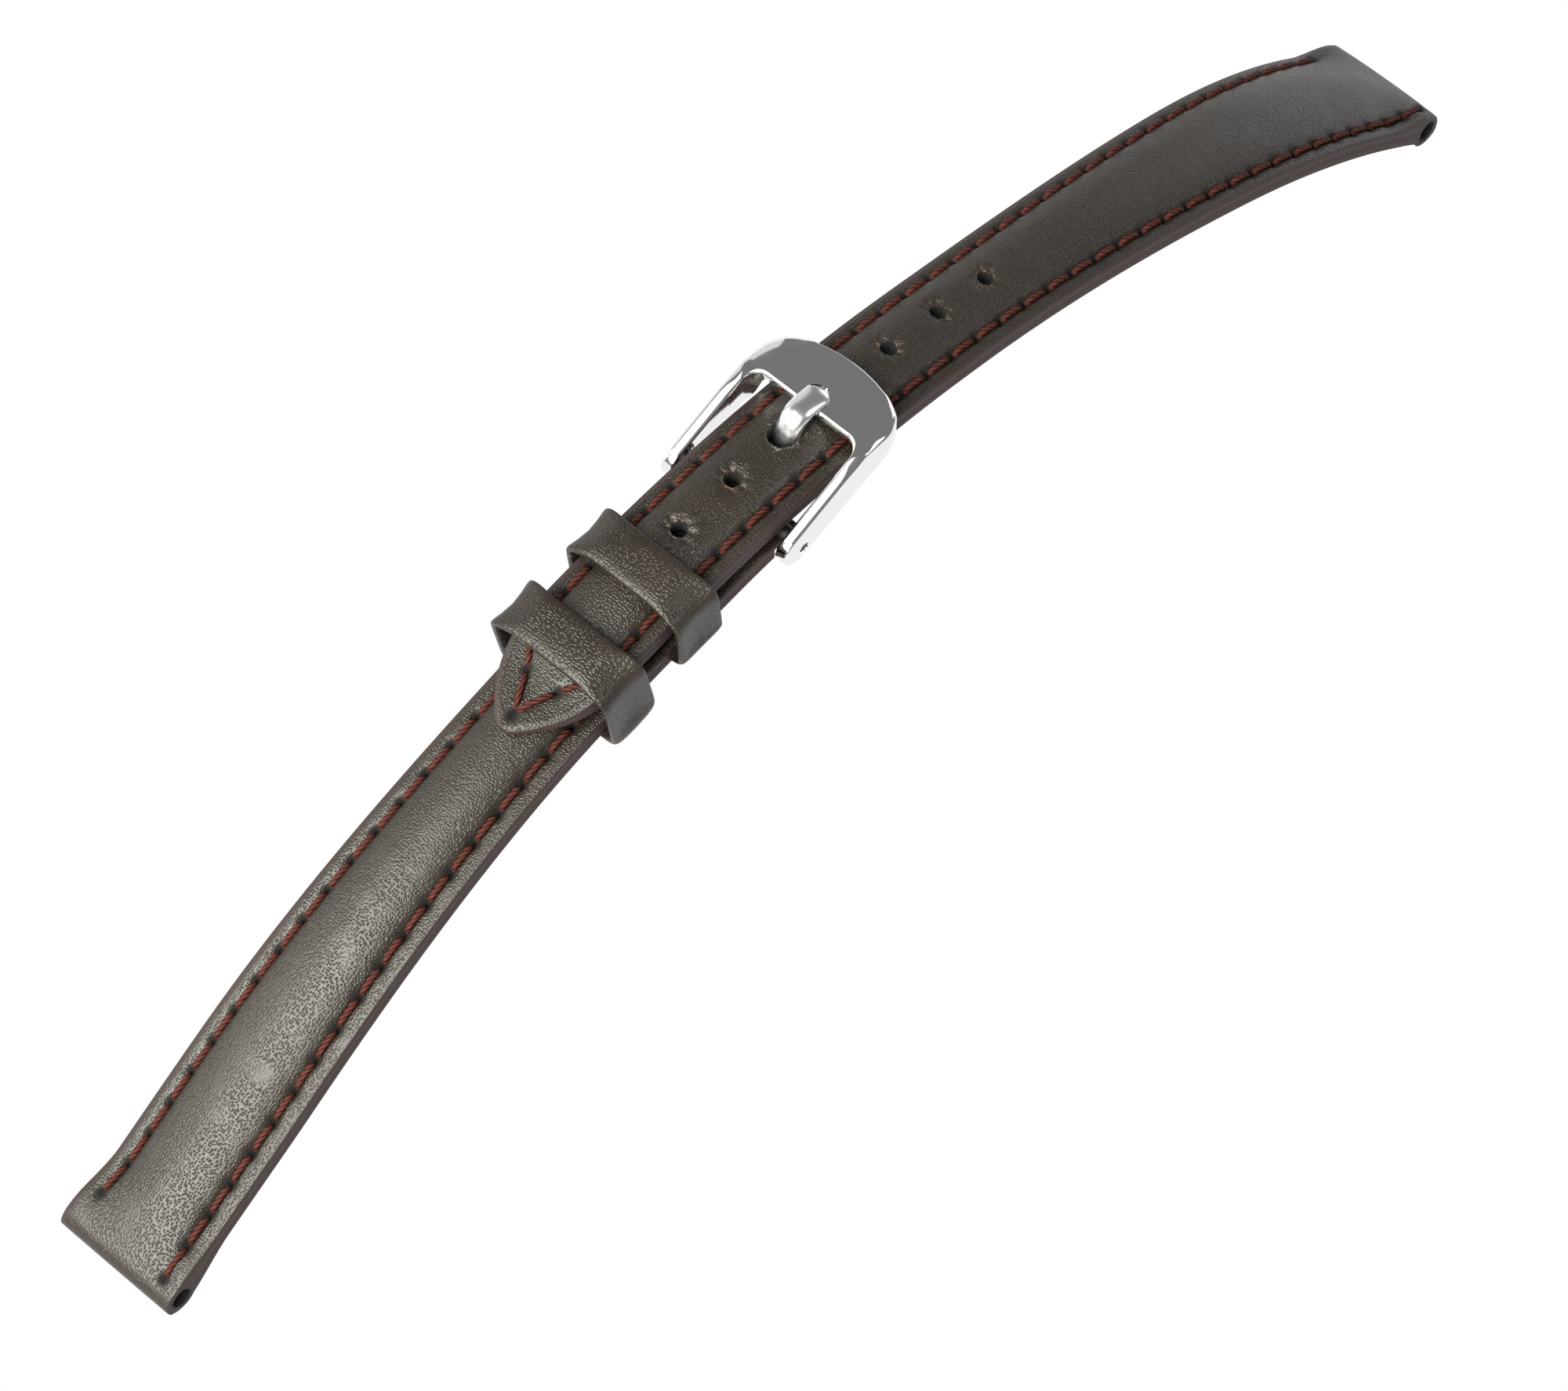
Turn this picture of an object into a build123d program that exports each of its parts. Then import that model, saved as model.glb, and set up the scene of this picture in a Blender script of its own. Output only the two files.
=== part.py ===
"""A padded leather watch strap with a pin buckle, buckled up and standing on its two lug ends.

Places are given along the strap: s runs from the short piece's lug end to the long piece's lug end,
y runs across to the strap's left, and h is the height above the short piece's flat margins.
"""

from build123d import *
from math import atan2, cos, hypot, radians, sin, sqrt, tan
import os

# Path of the strap, as arcs that follow each other: length and radius of each, in mm
lug_straight_length = 20.0
wrist_arc_length = 78.0
wrist_arc_radius = 98.0
flat_arc_length = 38.0
flat_arc_radius = 192.0
end_arc_length = 30.0
end_arc_radius = 85.0

# Widths
lug_width = 11.8
short_body_width = 11.1
long_body_width = 12.0
buckle_end_width = 9.5
lug_flare_length = 6.0
short_taper_start = 15.0
short_taper_end = 56.0
long_taper_start = 10.0
long_taper_end = 64.0

# Layers, from the top down
top_leather = 0.75
pad_skin = 0.75
tape_thickness = 0.25
lining_thickness = 0.8
flap_thickness = 0.35
glue_line = 0.03
short_crown = 1.3
long_crown = 1.15
tip_crown = 0.2
long_piece_height = 3.65
stitch_inset = 1.45
pad_seam_gap = 0.35
pad_side = 0.2
crown_blend_length = 10.0
edge_share = 0.93

# Rolled lug ends
lug_roll_radius = 1.6
lug_bore_radius = 0.9
flap_length = 7.0

# Loop for the buckle's spring bar
bar_place = 78.4
bar_height = 0.45
loop_radius = 1.33
loop_rise_length = 11.0
loop_step = 0.08
tongue_slot_width = 2.7
tongue_slot_rear = 2.2

# Long piece's tip and holes
tip_place = 51.4
tip_length = 8.5
tip_nose_radius = 1.3
hole_radius = 0.75
hole_pitch = 5.85
holes_behind_tongue = 2
holes_before_tongue = 4
tongue_hole_place = 83.15
tongue_hole_length = 3.2
tongue_hole_width = 2.3

# Stitching
stitch_pitch = 2.95
stitch_length = 2.3
upper_thread_radius = 0.22
lower_thread_radius = 0.15
thread_gap = 0.02
groove_width = 0.5
groove_depth = 0.33
short_left_first = 4.2
short_right_first = 2.3
long_left_first = 6.2
long_right_first = 2.4
short_stitch_end = 73.0
long_stitch_end = 59.3
tip_stitch_inset = 2.5
tip_stitch_run = 2.35
tip_stitch_spread = 1.6
tip_stitch_gap_share = 0.06

# Keepers
keeper_width = 4.65
keeper_wall = 0.9
keeper_core_thickness = 0.35
keeper_core_margin = 0.5
keeper_clearance = 0.2
fixed_keeper_place = 67.1
fixed_keeper_side_clearance = 0.25
free_keeper_place = 59.1
free_keeper_side_clearance = 0.45
keeper_inner_round = 0.3
keeper_edge_round = 0.3
keeper_shoulder_drop = 0.9
seam_stitch_spacing = 1.3
seam_stitch_length = 1.5

# Buckle frame, measured from the spring bar's axis
frame_inner_width = 11.0
frame_arm_thickness = 1.1
ear_hole_radius = 0.48
ear_end_radius = 1.5
ear_end_back = 0.7
ear_end_rise = 0.4
frame_bar_rear = 7.0
frame_bar_depth = 5.5
frame_bar_thickness = 1.0
frame_bar_clearance = 0.2
frame_bar_bow = 0.5
frame_corner_radius = 3.4
frame_inner_corner_radius = 1.3
notch_width = 2.3
notch_depth = 0.55
notch_length = 2.3

# Buckle tongue
tongue_width = 1.9
tongue_thickness = 1.05
tongue_eye_radius = 1.25
tongue_slope = 65.0
tongue_foot = 3.9
tongue_run_height = 0.45
tongue_tip = 8.9
tongue_round = 0.3
tongue_bend_radius = 1.0
tongue_seat_clearance = 0.05

# Spring bar
bar_radius = 0.75
bar_wall = 0.2
bar_end_gap = 0.3
bar_lip = 0.35
running_gap = 0.04
plunger_tip_radius = 0.42
plunger_tip_recess = 0.15
plunger_inside_length = 2.4
spring_wire_radius = 0.09
spring_wire_sides = 8
spring_turns = 12

# Shared by all cuts
overrun = 1.0
section_step = 5.0

bends = [
    (lug_straight_length, None),
    (wrist_arc_length, wrist_arc_radius),
    (flat_arc_length, flat_arc_radius),
    (end_arc_length, end_arc_radius),
]
strap_length = sum(length for length, radius in bends)


def raw_point(s, h):
    """Place and heading on the path before it is stood on its ends; the path starts level at the origin."""
    x, z, heading = 0.0, 0.0, 0.0
    left = s
    for number, (length, radius) in enumerate(bends):
        last = number == len(bends) - 1
        run = left if last else min(left, length)
        if radius is None:
            x += run * cos(heading)
            z += run * sin(heading)
        else:
            turned = heading - run / radius
            x += radius * (sin(heading) - sin(turned))
            z += radius * (cos(turned) - cos(heading))
            heading = turned
        left -= run
        if left <= 0:
            break
    return x - h * sin(heading), z + h * cos(heading), heading


short_roll_place = lug_roll_radius
long_roll_place = strap_length - lug_roll_radius
short_roll_height = short_crown - glue_line - lug_roll_radius
long_roll_height = long_piece_height + long_crown - glue_line - lug_roll_radius
start_x, start_z, start_heading = raw_point(short_roll_place, short_roll_height)
end_x, end_z, end_heading = raw_point(long_roll_place, long_roll_height)
stand_turn = -atan2(end_z - start_z, end_x - start_x)
stand_x = (start_x + end_x) / 2
stand_z = (start_z + end_z) / 2


def spot(s, h):
    """World x, z and heading of a place on the strap that stands on its two rolled ends."""
    x, z, heading = raw_point(s, h)
    dx, dz = x - stand_x, z - stand_z
    turned_x = dx * cos(stand_turn) - dz * sin(stand_turn)
    turned_z = dx * sin(stand_turn) + dz * cos(stand_turn)
    return turned_x, turned_z + lug_roll_radius, heading + stand_turn


def across(s, h=0.0):
    """Plane square to the strap at s: its x is the strap's y, and its y is the height h."""
    x, z, heading = spot(s, h)
    return Plane(origin=(x, 0, z), x_dir=(0, 1, 0), z_dir=(cos(heading), 0, sin(heading)))


def along(s, h=0.0, y=0.0):
    """Plane that lies on the strap at s: its x runs along the strap, its y is the strap's y."""
    x, z, heading = spot(s, h)
    ahead = (cos(heading), 0, sin(heading))
    upward = (-sin(heading), 0, cos(heading))
    return Plane(origin=(x, y, z), x_dir=ahead, z_dir=upward)


def beside(s, h=0.0, y=0.0):
    """Plane seen from the strap's right side: its x runs along the strap and its y is the height."""
    x, z, heading = spot(s, h)
    return Plane(origin=(x, y, z), x_dir=(cos(heading), 0, sin(heading)), z_dir=(0, -1, 0))


def ease(value, start, end):
    """Rises smoothly from 0 at start to 1 at end."""
    share = min(max((value - start) / (end - start), 0.0), 1.0)
    return share * share * (3 - 2 * share)


def mix(low, high, share):
    return low + (high - low) * share


def places(start, end):
    """Section places from start to end; between them every layer uses the same steps, so all bend alike."""
    steps = [number * section_step for number in range(int(strap_length / section_step) + 1)]
    near = section_step / 2
    return [start] + [s for s in steps if start + near < s < end - near] + [end]


def short_half(s):
    """Half the short piece's width: widest at the lug, then tapering to the buckle."""
    flare_end = short_roll_place + lug_flare_length
    near_lug = mix(lug_width, short_body_width, ease(s, short_roll_place, flare_end))
    return mix(near_lug, buckle_end_width, ease(s, short_taper_start, short_taper_end)) / 2


def long_half(s):
    """Half the long piece's width, which tapers from its own lug end."""
    flare_start = long_roll_place - lug_flare_length
    near_lug = mix(long_body_width, lug_width, ease(s, flare_start, long_roll_place))
    back = strap_length - s
    return mix(near_lug, buckle_end_width, ease(back, long_taper_start, long_taper_end)) / 2


def short_base(s):
    """Height of the short piece's margins: level, then lifting where it becomes the loop."""
    rise = bar_height + loop_radius - loop_step - short_crown
    return rise * ease(s, bar_place - loop_rise_length, bar_place)


def long_base(s):
    """Height of the long piece's margins, which lie over the short piece."""
    return long_piece_height


def short_crown_at(s):
    return short_crown


def long_crown_at(s):
    """Crown of the long piece: low at the tip, full from the first hole on."""
    rise_start = tip_place + tip_length / 2
    return mix(tip_crown, long_crown, ease(s, rise_start, rise_start + crown_blend_length))


def short_edge(s):
    """How far the short piece's margins rise to meet its rolled lug end."""
    return short_crown * edge_share * (1 - ease(s, short_roll_place, short_roll_place + lug_flare_length))


def long_edge(s):
    return long_crown * edge_share * ease(s, long_roll_place - lug_flare_length, long_roll_place)


tape_high = -top_leather - glue_line
tape_low = tape_high - tape_thickness
lining_high = tape_low - glue_line
lining_low = lining_high - lining_thickness
tuck_high = lining_high - glue_line
tuck_low = tuck_high - flap_thickness


def outer_section(s, half, base, edge, crown):
    """Outside of the top leather: flat margins and a crown from one stitch line to the other."""
    seam = half - stitch_inset
    low = base - top_leather
    high = base + edge
    with BuildSketch(across(s)) as section:
        with BuildLine():
            Polyline((-seam, high), (-half, high), (-half, low), (half, low), (half, high), (seam, high))
            ThreePointArc((seam, high), (0, base + crown), (-seam, high))
        make_face()
    return section.sketch


def pad_section(s, half, base, crown, gap, foot):
    """Cushion shape between the stitch lines; its bottom is foot above the top leather's underside."""
    seam = half - stitch_inset - pad_seam_gap - gap
    low = base - top_leather + foot
    side = base - top_leather + pad_side - gap
    with BuildSketch(across(s)) as section:
        with BuildLine():
            Polyline((-seam, side), (-seam, low), (seam, low), (seam, side))
            ThreePointArc((seam, side), (0, base + crown - pad_skin - gap), (-seam, side))
        make_face()
    return section.sketch


def band_section(s, half, low, high):
    """Plain flat layer between two heights."""
    with BuildSketch(across(s)) as section:
        with Locations((0, (low + high) / 2)):
            Rectangle(2 * half, high - low)
    return section.sketch


def band(start, end, half_of, base_of, low, high):
    """A flat layer that follows the strap, between two heights over its margins' height."""
    sections = []
    for s in places(start, end):
        base = base_of(s)
        sections.append(band_section(s, half_of(s), base + low, base + high))
    return loft(sections)


def lining_section(s, half, base):
    """Flat lining with a groove for the lower thread under each stitch line."""
    seam = half - stitch_inset
    groove = seam + groove_width
    low = base + lining_low
    high = base + lining_high
    floor = low + groove_depth
    side = [(seam, low), (seam, floor), (groove, floor), (groove, low), (half, low), (half, high)]
    with BuildSketch(across(s)) as section:
        with BuildLine():
            Polyline(*side, *[(-y, h) for y, h in reversed(side)], close=True)
        make_face()
    return section.sketch


def make_lining(start, end, half_of, base_of):
    return loft([lining_section(s, half_of(s), base_of(s)) for s in places(start, end)])


def wide_half(s):
    """Half a width that reaches past the strap's sides, for cuts."""
    return lug_width


def rod(s, h, radius, width):
    """Cylinder straight across the strap."""
    return extrude(beside(s, h, width / 2) * Circle(radius), width)


def block(start, end, low, high, width):
    """Block across the strap, squared to it at the middle of its length."""
    middle = (start + end) / 2
    return extrude(beside(middle, (low + high) / 2, width / 2) * Rectangle(end - start, high - low), width)


def point(s, y, h):
    x, z, heading = spot(s, h)
    return Vector(x, y, z)


def make_skin(start, end, pad_start, pad_end, half_of, base_of, edge_of, crown_of):
    """Top leather, hollow from below for its pad, and the pad that fills it."""
    outside = loft([
        outer_section(s, half_of(s), base_of(s), edge_of(s), crown_of(s)) for s in places(start, end)
    ])
    hollow = loft([
        pad_section(s, half_of(s), base_of(s), crown_of(s), 0, -overrun) for s in places(pad_start, pad_end)
    ])
    pad = loft([
        pad_section(s, half_of(s), base_of(s), crown_of(s), glue_line, glue_line)
        for s in places(pad_start + glue_line, pad_end - glue_line)
    ])
    return outside - hollow, pad


def lug_roll(place, height, base, half_of, inward):
    """The top leather rolled round the lug's spring bar, with the flap that is tucked under the tape."""
    roll = rod(place, height, lug_roll_radius, 2 * half_of(place))
    flap_end = place + inward * (lug_roll_radius + flap_length)
    flap = band(min(place, flap_end), max(place, flap_end), half_of, lambda s: base, tuck_low, tuck_high)
    return roll + flap


def short_cuts():
    """What is cut through every layer of the short piece: the slot for the buckle's tongue."""
    start = bar_place - tongue_slot_rear
    end = bar_place + loop_radius + overrun
    return block(start, end, lining_low - overrun, short_crown + 2 * overrun, tongue_slot_width)


def make_short_piece():
    """Layers of the short piece, from its rolled lug end to its loop for the buckle."""
    core_start = short_roll_place + lug_roll_radius + glue_line
    core_end = bar_place - loop_radius - glue_line
    pad_end = bar_place - loop_radius - tongue_slot_rear
    skin, pad = make_skin(
        short_roll_place, bar_place, core_start, pad_end, short_half, short_base, short_edge, short_crown_at
    )
    loop = rod(bar_place, bar_height, loop_radius, buckle_end_width)
    leather = skin + lug_roll(short_roll_place, short_roll_height, 0, short_half, 1) + loop
    leather = leather - rod(short_roll_place, short_roll_height, lug_bore_radius, lug_width + overrun)
    leather = leather - rod(bar_place, bar_height, bar_radius + running_gap, lug_width)
    tape = band(core_start, core_end, short_half, short_base, tape_low, tape_high)
    lining = make_lining(core_start, core_end, short_half, short_base)
    flap_end = short_roll_place + lug_roll_radius + flap_length + glue_line
    lining = lining - band(0, flap_end, wide_half, short_base, tuck_low - glue_line, lining_high + overrun)
    keeper_start = fixed_keeper_place - keeper_width / 2 - glue_line
    keeper_end = fixed_keeper_place + keeper_width / 2 + glue_line
    tuck = block(keeper_start, keeper_end, tuck_low - glue_line, tuck_high + glue_line, 2 * lug_width)
    tape = tape - tuck
    lining = lining - tuck
    slot = short_cuts()
    return {
        "short_top_leather": leather - slot,
        "short_padding": pad,
        "short_reinforcement_tape": tape - slot,
        "short_lining": lining - slot,
    }


def tip_outline():
    """Half-round nose and two long arcs that run into the long piece's sides; x is 0 at the nose."""
    half = buckle_end_width / 2
    nose = tip_nose_radius
    side = (tip_length ** 2 + half ** 2 - 2 * tip_length * nose) / (2 * (half - nose))
    run_x = tip_length - nose
    run_y = half - side
    distance = hypot(run_x, run_y)
    touch_x = nose - nose * run_x / distance
    touch_y = -nose * run_y / distance
    middle_x = (touch_x + tip_length) / 2
    middle_y = run_y + sqrt(side ** 2 - (tip_length - middle_x) ** 2)
    with BuildSketch() as outline:
        with BuildLine():
            ThreePointArc((touch_x, -touch_y), (0, 0), (touch_x, touch_y))
            ThreePointArc((touch_x, touch_y), (middle_x, middle_y), (tip_length, half))
            Line((tip_length, half), (tip_length, -half))
            ThreePointArc((tip_length, -half), (middle_x, -middle_y), (touch_x, -touch_y))
        make_face()
    return outline.sketch


def long_cuts():
    """What is cut through every layer of the long piece: the sides of its tip and its holes."""
    low = long_base(tip_place) + lining_low - overrun
    height = long_crown + long_piece_height + overrun - low
    with BuildSketch() as corners:
        with Locations((tip_length / 2 - overrun, 0)):
            Rectangle(tip_length + 2 * overrun, buckle_end_width + 2 * overrun)
        add(tip_outline(), mode=Mode.SUBTRACT)
        with Locations((tip_length + overrun, 0)):
            Rectangle(2 * overrun, buckle_end_width + 2 * overrun, mode=Mode.SUBTRACT)
    cuts = [extrude(along(tip_place, low) * corners.sketch, height)]
    for number in range(-holes_behind_tongue, holes_before_tongue + 1):
        place = tongue_hole_place + number * hole_pitch
        face = Circle(hole_radius) if number else SlotOverall(tongue_hole_length, tongue_hole_width)
        cuts.append(extrude(along(place, low) * face, height))
    return cuts


def make_long_piece():
    """Layers of the long piece, from its tip to its rolled lug end."""
    core_end = long_roll_place - lug_roll_radius - glue_line
    pad_start = tip_place + tip_length
    skin, pad = make_skin(
        tip_place, long_roll_place, pad_start, core_end, long_half, long_base, long_edge, long_crown_at
    )
    leather = skin + lug_roll(long_roll_place, long_roll_height, long_piece_height, long_half, -1)
    leather = leather - rod(long_roll_place, long_roll_height, lug_bore_radius, lug_width + overrun)
    tape = band(tip_place, core_end, long_half, long_base, tape_low, tape_high)
    lining = make_lining(tip_place, core_end, long_half, long_base)
    flap_start = long_roll_place - lug_roll_radius - flap_length - glue_line
    tucked = band(flap_start, strap_length, wide_half, long_base, tuck_low - glue_line, lining_high + overrun)
    lining = lining - tucked
    layers = {
        "long_top_leather": leather,
        "long_padding": pad,
        "long_reinforcement_tape": tape,
        "long_lining": lining,
    }
    cuts = long_cuts()
    for name in layers:
        for cut in cuts:
            layers[name] = layers[name] - cut
    return layers


def stitch(start, end, radius):
    """One run of thread between two needle holes."""
    run = end - start
    return extrude(Plane(origin=start, z_dir=run) * Circle(radius), run.length)


def stitch_row(first, last, side, half_of, height_of, radius):
    """Stitches from first to last along one stitch line; side is 1 on the left and -1 on the right."""
    direction = 1 if last > first else -1
    row = []
    for number in range(int(abs(last - first) / stitch_pitch)):
        ends = []
        for s in (0, stitch_length):
            place = first + direction * (number * stitch_pitch + s)
            y = side * (half_of(place) - stitch_inset + groove_width / 2)
            ends.append(point(place, y, height_of(place)))
        row.append(stitch(*ends, radius))
    return row


def short_upper_height(s):
    return short_base(s) + short_edge(s) + upper_thread_radius + thread_gap


def long_upper_height(s):
    return long_base(s) + long_edge(s) + upper_thread_radius + thread_gap


def short_lower_height(s):
    return short_base(s) + lining_low + lower_thread_radius + thread_gap / 2


def long_lower_height(s):
    return long_base(s) + lining_low + lower_thread_radius + thread_gap / 2


def tip_stitches(height_of, radius):
    """The stitches that follow the tip in a V and join the two side lines."""
    seam = buckle_end_width / 2 - stitch_inset + groove_width / 2
    vertex = tip_place + tip_stitch_inset
    stitches = []
    for side in (-1, 1):
        stops = [
            (vertex, side * upper_thread_radius),
            (vertex + tip_stitch_run, side * tip_stitch_spread),
            (vertex + 2 * tip_stitch_run, side * seam),
        ]
        for (s, y), (s_end, y_end) in zip(stops, stops[1:]):
            gap = (s_end - s) * tip_stitch_gap_share
            slant = (y_end - y) * tip_stitch_gap_share
            start = point(s + gap, y + slant, height_of(s, y / seam))
            end = point(s_end - gap, y_end - slant, height_of(s_end, y_end / seam))
            stitches.append(stitch(start, end, radius))
    return stitches


def tip_upper_height(s, side_share):
    """Just over the crown of the tip, which falls away to the sides."""
    crown = long_crown_at(s) * (1 - side_share ** 2)
    return long_base(s) + crown + upper_thread_radius + thread_gap


def tip_lower_height(s, side_share):
    return long_base(s) + lining_low - lower_thread_radius - thread_gap


def make_threads():
    """Upper and lower threads of both pieces, as the runs that show between the needle holes."""
    short_start = short_roll_place + lug_roll_radius + thread_gap
    long_start = long_roll_place - lug_roll_radius - thread_gap
    short_upper, short_lower, long_upper, long_lower = [], [], [], []
    starts = ((1, short_left_first, long_left_first), (-1, short_right_first, long_right_first))
    for side, short_first, long_first in starts:
        long_place = strap_length - long_first
        short_upper += stitch_row(
            short_first, short_stitch_end, side, short_half, short_upper_height, upper_thread_radius
        )
        lower_first = max(short_first, short_start)
        short_lower += stitch_row(
            lower_first, short_stitch_end, side, short_half, short_lower_height, lower_thread_radius
        )
        long_upper += stitch_row(
            long_place, long_stitch_end, side, long_half, long_upper_height, upper_thread_radius
        )
        lower_first = min(long_place, long_start)
        long_lower += stitch_row(
            lower_first, long_stitch_end, side, long_half, long_lower_height, lower_thread_radius
        )
    long_upper += tip_stitches(tip_upper_height, upper_thread_radius)
    long_lower += tip_stitches(tip_lower_height, lower_thread_radius)
    return {
        "short_upper_thread": Compound(children=short_upper),
        "short_lower_thread": Compound(children=short_lower),
        "long_upper_thread": Compound(children=long_upper),
        "long_lower_thread": Compound(children=long_lower),
    }


def keeper_outline(half, low, crown, corner):
    """A keeper's outline: flat below, straight sides, arched over the strap."""
    shoulder = crown - keeper_shoulder_drop
    with BuildSketch() as outline:
        with BuildLine():
            Polyline((-half, shoulder), (-half, low), (half, low), (half, shoulder))
            ThreePointArc((half, shoulder), (0, crown), (-half, shoulder))
        make_face()
        fillet(outline.vertices(), corner)
    return outline.sketch


def keeper_band(width, half, low, crown, wall, low_wall):
    """A closed band round the strap, lying on its side on the ground plane."""
    outer = keeper_outline(half + wall, low - low_wall, crown + wall, keeper_inner_round + wall)
    body = extrude(outer, width)
    body = fillet(body.edges().group_by(Axis.Z)[0] + body.edges().group_by(Axis.Z)[-1], keeper_edge_round)
    return body - extrude(keeper_outline(half, low, crown, keeper_inner_round), width)


def keeper_core(width, half, low, crown, wall, low_wall, gap):
    """The strip of board inside a keeper's folded leather, or with no gap the pocket that it fills."""
    side_skin = (wall - keeper_core_thickness) / 2 + gap
    low_skin = (low_wall - keeper_core_thickness * low_wall / wall) / 2 + gap
    core_width = width - 2 * keeper_core_margin - 2 * gap
    reach = wall - side_skin
    bottom = low - low_wall + low_skin
    outer = keeper_outline(half + reach, bottom, crown + reach, keeper_inner_round + reach)
    bottom = low - low_skin
    inner = keeper_outline(half + side_skin, bottom, crown + side_skin, keeper_inner_round + side_skin)
    ring = extrude(outer, core_width) - extrude(inner, core_width)
    return Pos(0, 0, keeper_core_margin + gap) * ring


def make_keeper(name, place, half, low, crown, low_wall):
    """Leather cover and stiffening core of one keeper."""
    plane = across(place).offset(-keeper_width / 2)
    pocket = keeper_core(keeper_width, half, low, crown, keeper_wall, low_wall, 0)
    cover = keeper_band(keeper_width, half, low, crown, keeper_wall, low_wall) - pocket
    core = keeper_core(keeper_width, half, low, crown, keeper_wall, low_wall, glue_line)
    return {name + "_cover": plane.location * cover, name + "_core": plane.location * core}


def make_keepers():
    half = buckle_end_width / 2
    crown = long_piece_height + long_crown + keeper_clearance
    free_low = lining_low - keeper_clearance
    fixed_half = half + fixed_keeper_side_clearance
    free_half = half + free_keeper_side_clearance
    keepers = make_keeper("fixed_keeper", fixed_keeper_place, fixed_half, tuck_high, crown, flap_thickness)
    keepers.update(make_keeper("free_keeper", free_keeper_place, free_half, free_low, crown, keeper_wall))
    seam = []
    for side in (-1, 1):
        s = free_keeper_place + side * seam_stitch_spacing / 2
        h = free_low - keeper_wall - upper_thread_radius - thread_gap
        start = point(s, -seam_stitch_length / 2, h)
        end = point(s, seam_stitch_length / 2, h)
        seam.append(stitch(start, end, upper_thread_radius))
    keepers["free_keeper_thread"] = Compound(children=seam)
    return keepers


bar_top = long_piece_height + long_crown + frame_bar_clearance + frame_bar_thickness
notch_floor = bar_top - notch_depth


def from_axis(s, h):
    """A place of the strap as seen from the spring bar's axis: along the strap there, and up."""
    axis_x, axis_z, heading = spot(bar_place, bar_height)
    x, z, heading_there = spot(s, h)
    dx = x - axis_x
    dz = z - axis_z
    return dx * cos(heading) + dz * sin(heading), dz * cos(heading) - dx * sin(heading)


def make_frame():
    """Buckle frame: two arms with ears for the spring bar, and the front bar over the long piece."""
    rear_place = bar_place + frame_bar_rear
    front_place = rear_place + frame_bar_depth
    rear = from_axis(rear_place, bar_top)
    front = from_axis(front_place, bar_top)
    rear_under = from_axis(rear_place, bar_top - frame_bar_thickness)
    front_under = from_axis(front_place, bar_top - frame_bar_thickness)
    half = frame_inner_width / 2
    outer_half = half + frame_arm_thickness
    with BuildSketch() as arm:
        with BuildLine():
            Polyline(rear, front, front_under, rear_under, close=True)
        make_face()
        with Locations((-ear_end_back, ear_end_rise)):
            Circle(ear_end_radius)
        make_hull()
    body = extrude(arm.sketch, outer_half, both=True)
    tail_end = -ear_end_back - ear_end_radius - overrun
    corner_x = front[0] - frame_bar_bow
    with BuildSketch(Plane.XZ) as plan:
        with BuildLine():
            left_corner = (corner_x, outer_half)
            right_corner = (corner_x, -outer_half)
            Polyline(left_corner, (tail_end, outer_half), (tail_end, -outer_half), right_corner)
            ThreePointArc(right_corner, (front[0], 0), left_corner)
        make_face()
        fillet(plan.vertices().group_by(Axis.X)[-1], frame_corner_radius)
    reach = 2 * bar_top
    body = body & extrude(plan.sketch, reach, both=True)
    window_length = rear[0] - tail_end + overrun
    with BuildSketch(Plane.XZ) as window:
        with Locations((rear[0] - window_length / 2, 0)):
            Rectangle(window_length, 2 * half)
        fillet(window.vertices().group_by(Axis.X)[-1], frame_inner_corner_radius)
    body = body - extrude(window.sketch, reach, both=True)
    with BuildSketch() as under:
        with BuildLine():
            slope = (front_under[1] - rear_under[1]) / (front_under[0] - rear_under[0])
            lead_x = rear_under[0] - overrun
            lead_y = rear_under[1] - slope * overrun
            far_x = front_under[0] + overrun
            far_y = front_under[1] + slope * overrun
            Polyline((lead_x, lead_y), (far_x, far_y), (far_x, -reach), (lead_x, -reach), close=True)
        make_face()
    body = body - extrude(under.sketch, half, both=True)
    frame = beside(bar_place, bar_height).location * body
    notch_round = notch_width / 2
    with BuildSketch() as notch:
        with Locations((notch_length - notch_round, 0)):
            Circle(notch_round)
        with Locations(((notch_length - notch_round - overrun) / 2, 0)):
            Rectangle(notch_length - notch_round + overrun, notch_width)
    frame = frame - extrude(along(rear_place, notch_floor) * notch.sketch, overrun)
    return frame - rod(bar_place, bar_height, ear_hole_radius, 2 * outer_half + overrun)


def make_tongue():
    """Buckle tongue: an eye round the spring bar, a run under the long piece and up its hole over the bar."""
    middle = tongue_seat_clearance + tongue_thickness / 2
    over_bar = from_axis(bar_place + frame_bar_rear, notch_floor + middle)
    tip = from_axis(bar_place + tongue_tip, notch_floor + middle)
    slope = (tip[1] - over_bar[1]) / (tip[0] - over_bar[0])
    climb = tan(radians(tongue_slope))
    bend_x = (over_bar[1] - slope * over_bar[0] - tongue_run_height + climb * tongue_foot) / (climb - slope)
    bend_y = tongue_run_height + climb * (bend_x - tongue_foot)
    with BuildSketch() as side:
        with BuildLine():
            foot = (tongue_foot, tongue_run_height)
            FilletPolyline((0, tongue_run_height), foot, (bend_x, bend_y), tip, radius=tongue_bend_radius)
        trace(line_width=tongue_thickness)
    strip = extrude(side.sketch, tongue_width / 2, both=True)
    strip = fillet(strip.edges().group_by(Axis.Z)[0] + strip.edges().group_by(Axis.Z)[-1], tongue_round)
    eye = extrude(Circle(tongue_eye_radius), tongue_width / 2, both=True)
    tongue = beside(bar_place, bar_height).location * (strip + eye)
    return tongue - rod(bar_place, bar_height, bar_radius + running_gap, tongue_width + overrun)


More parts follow.
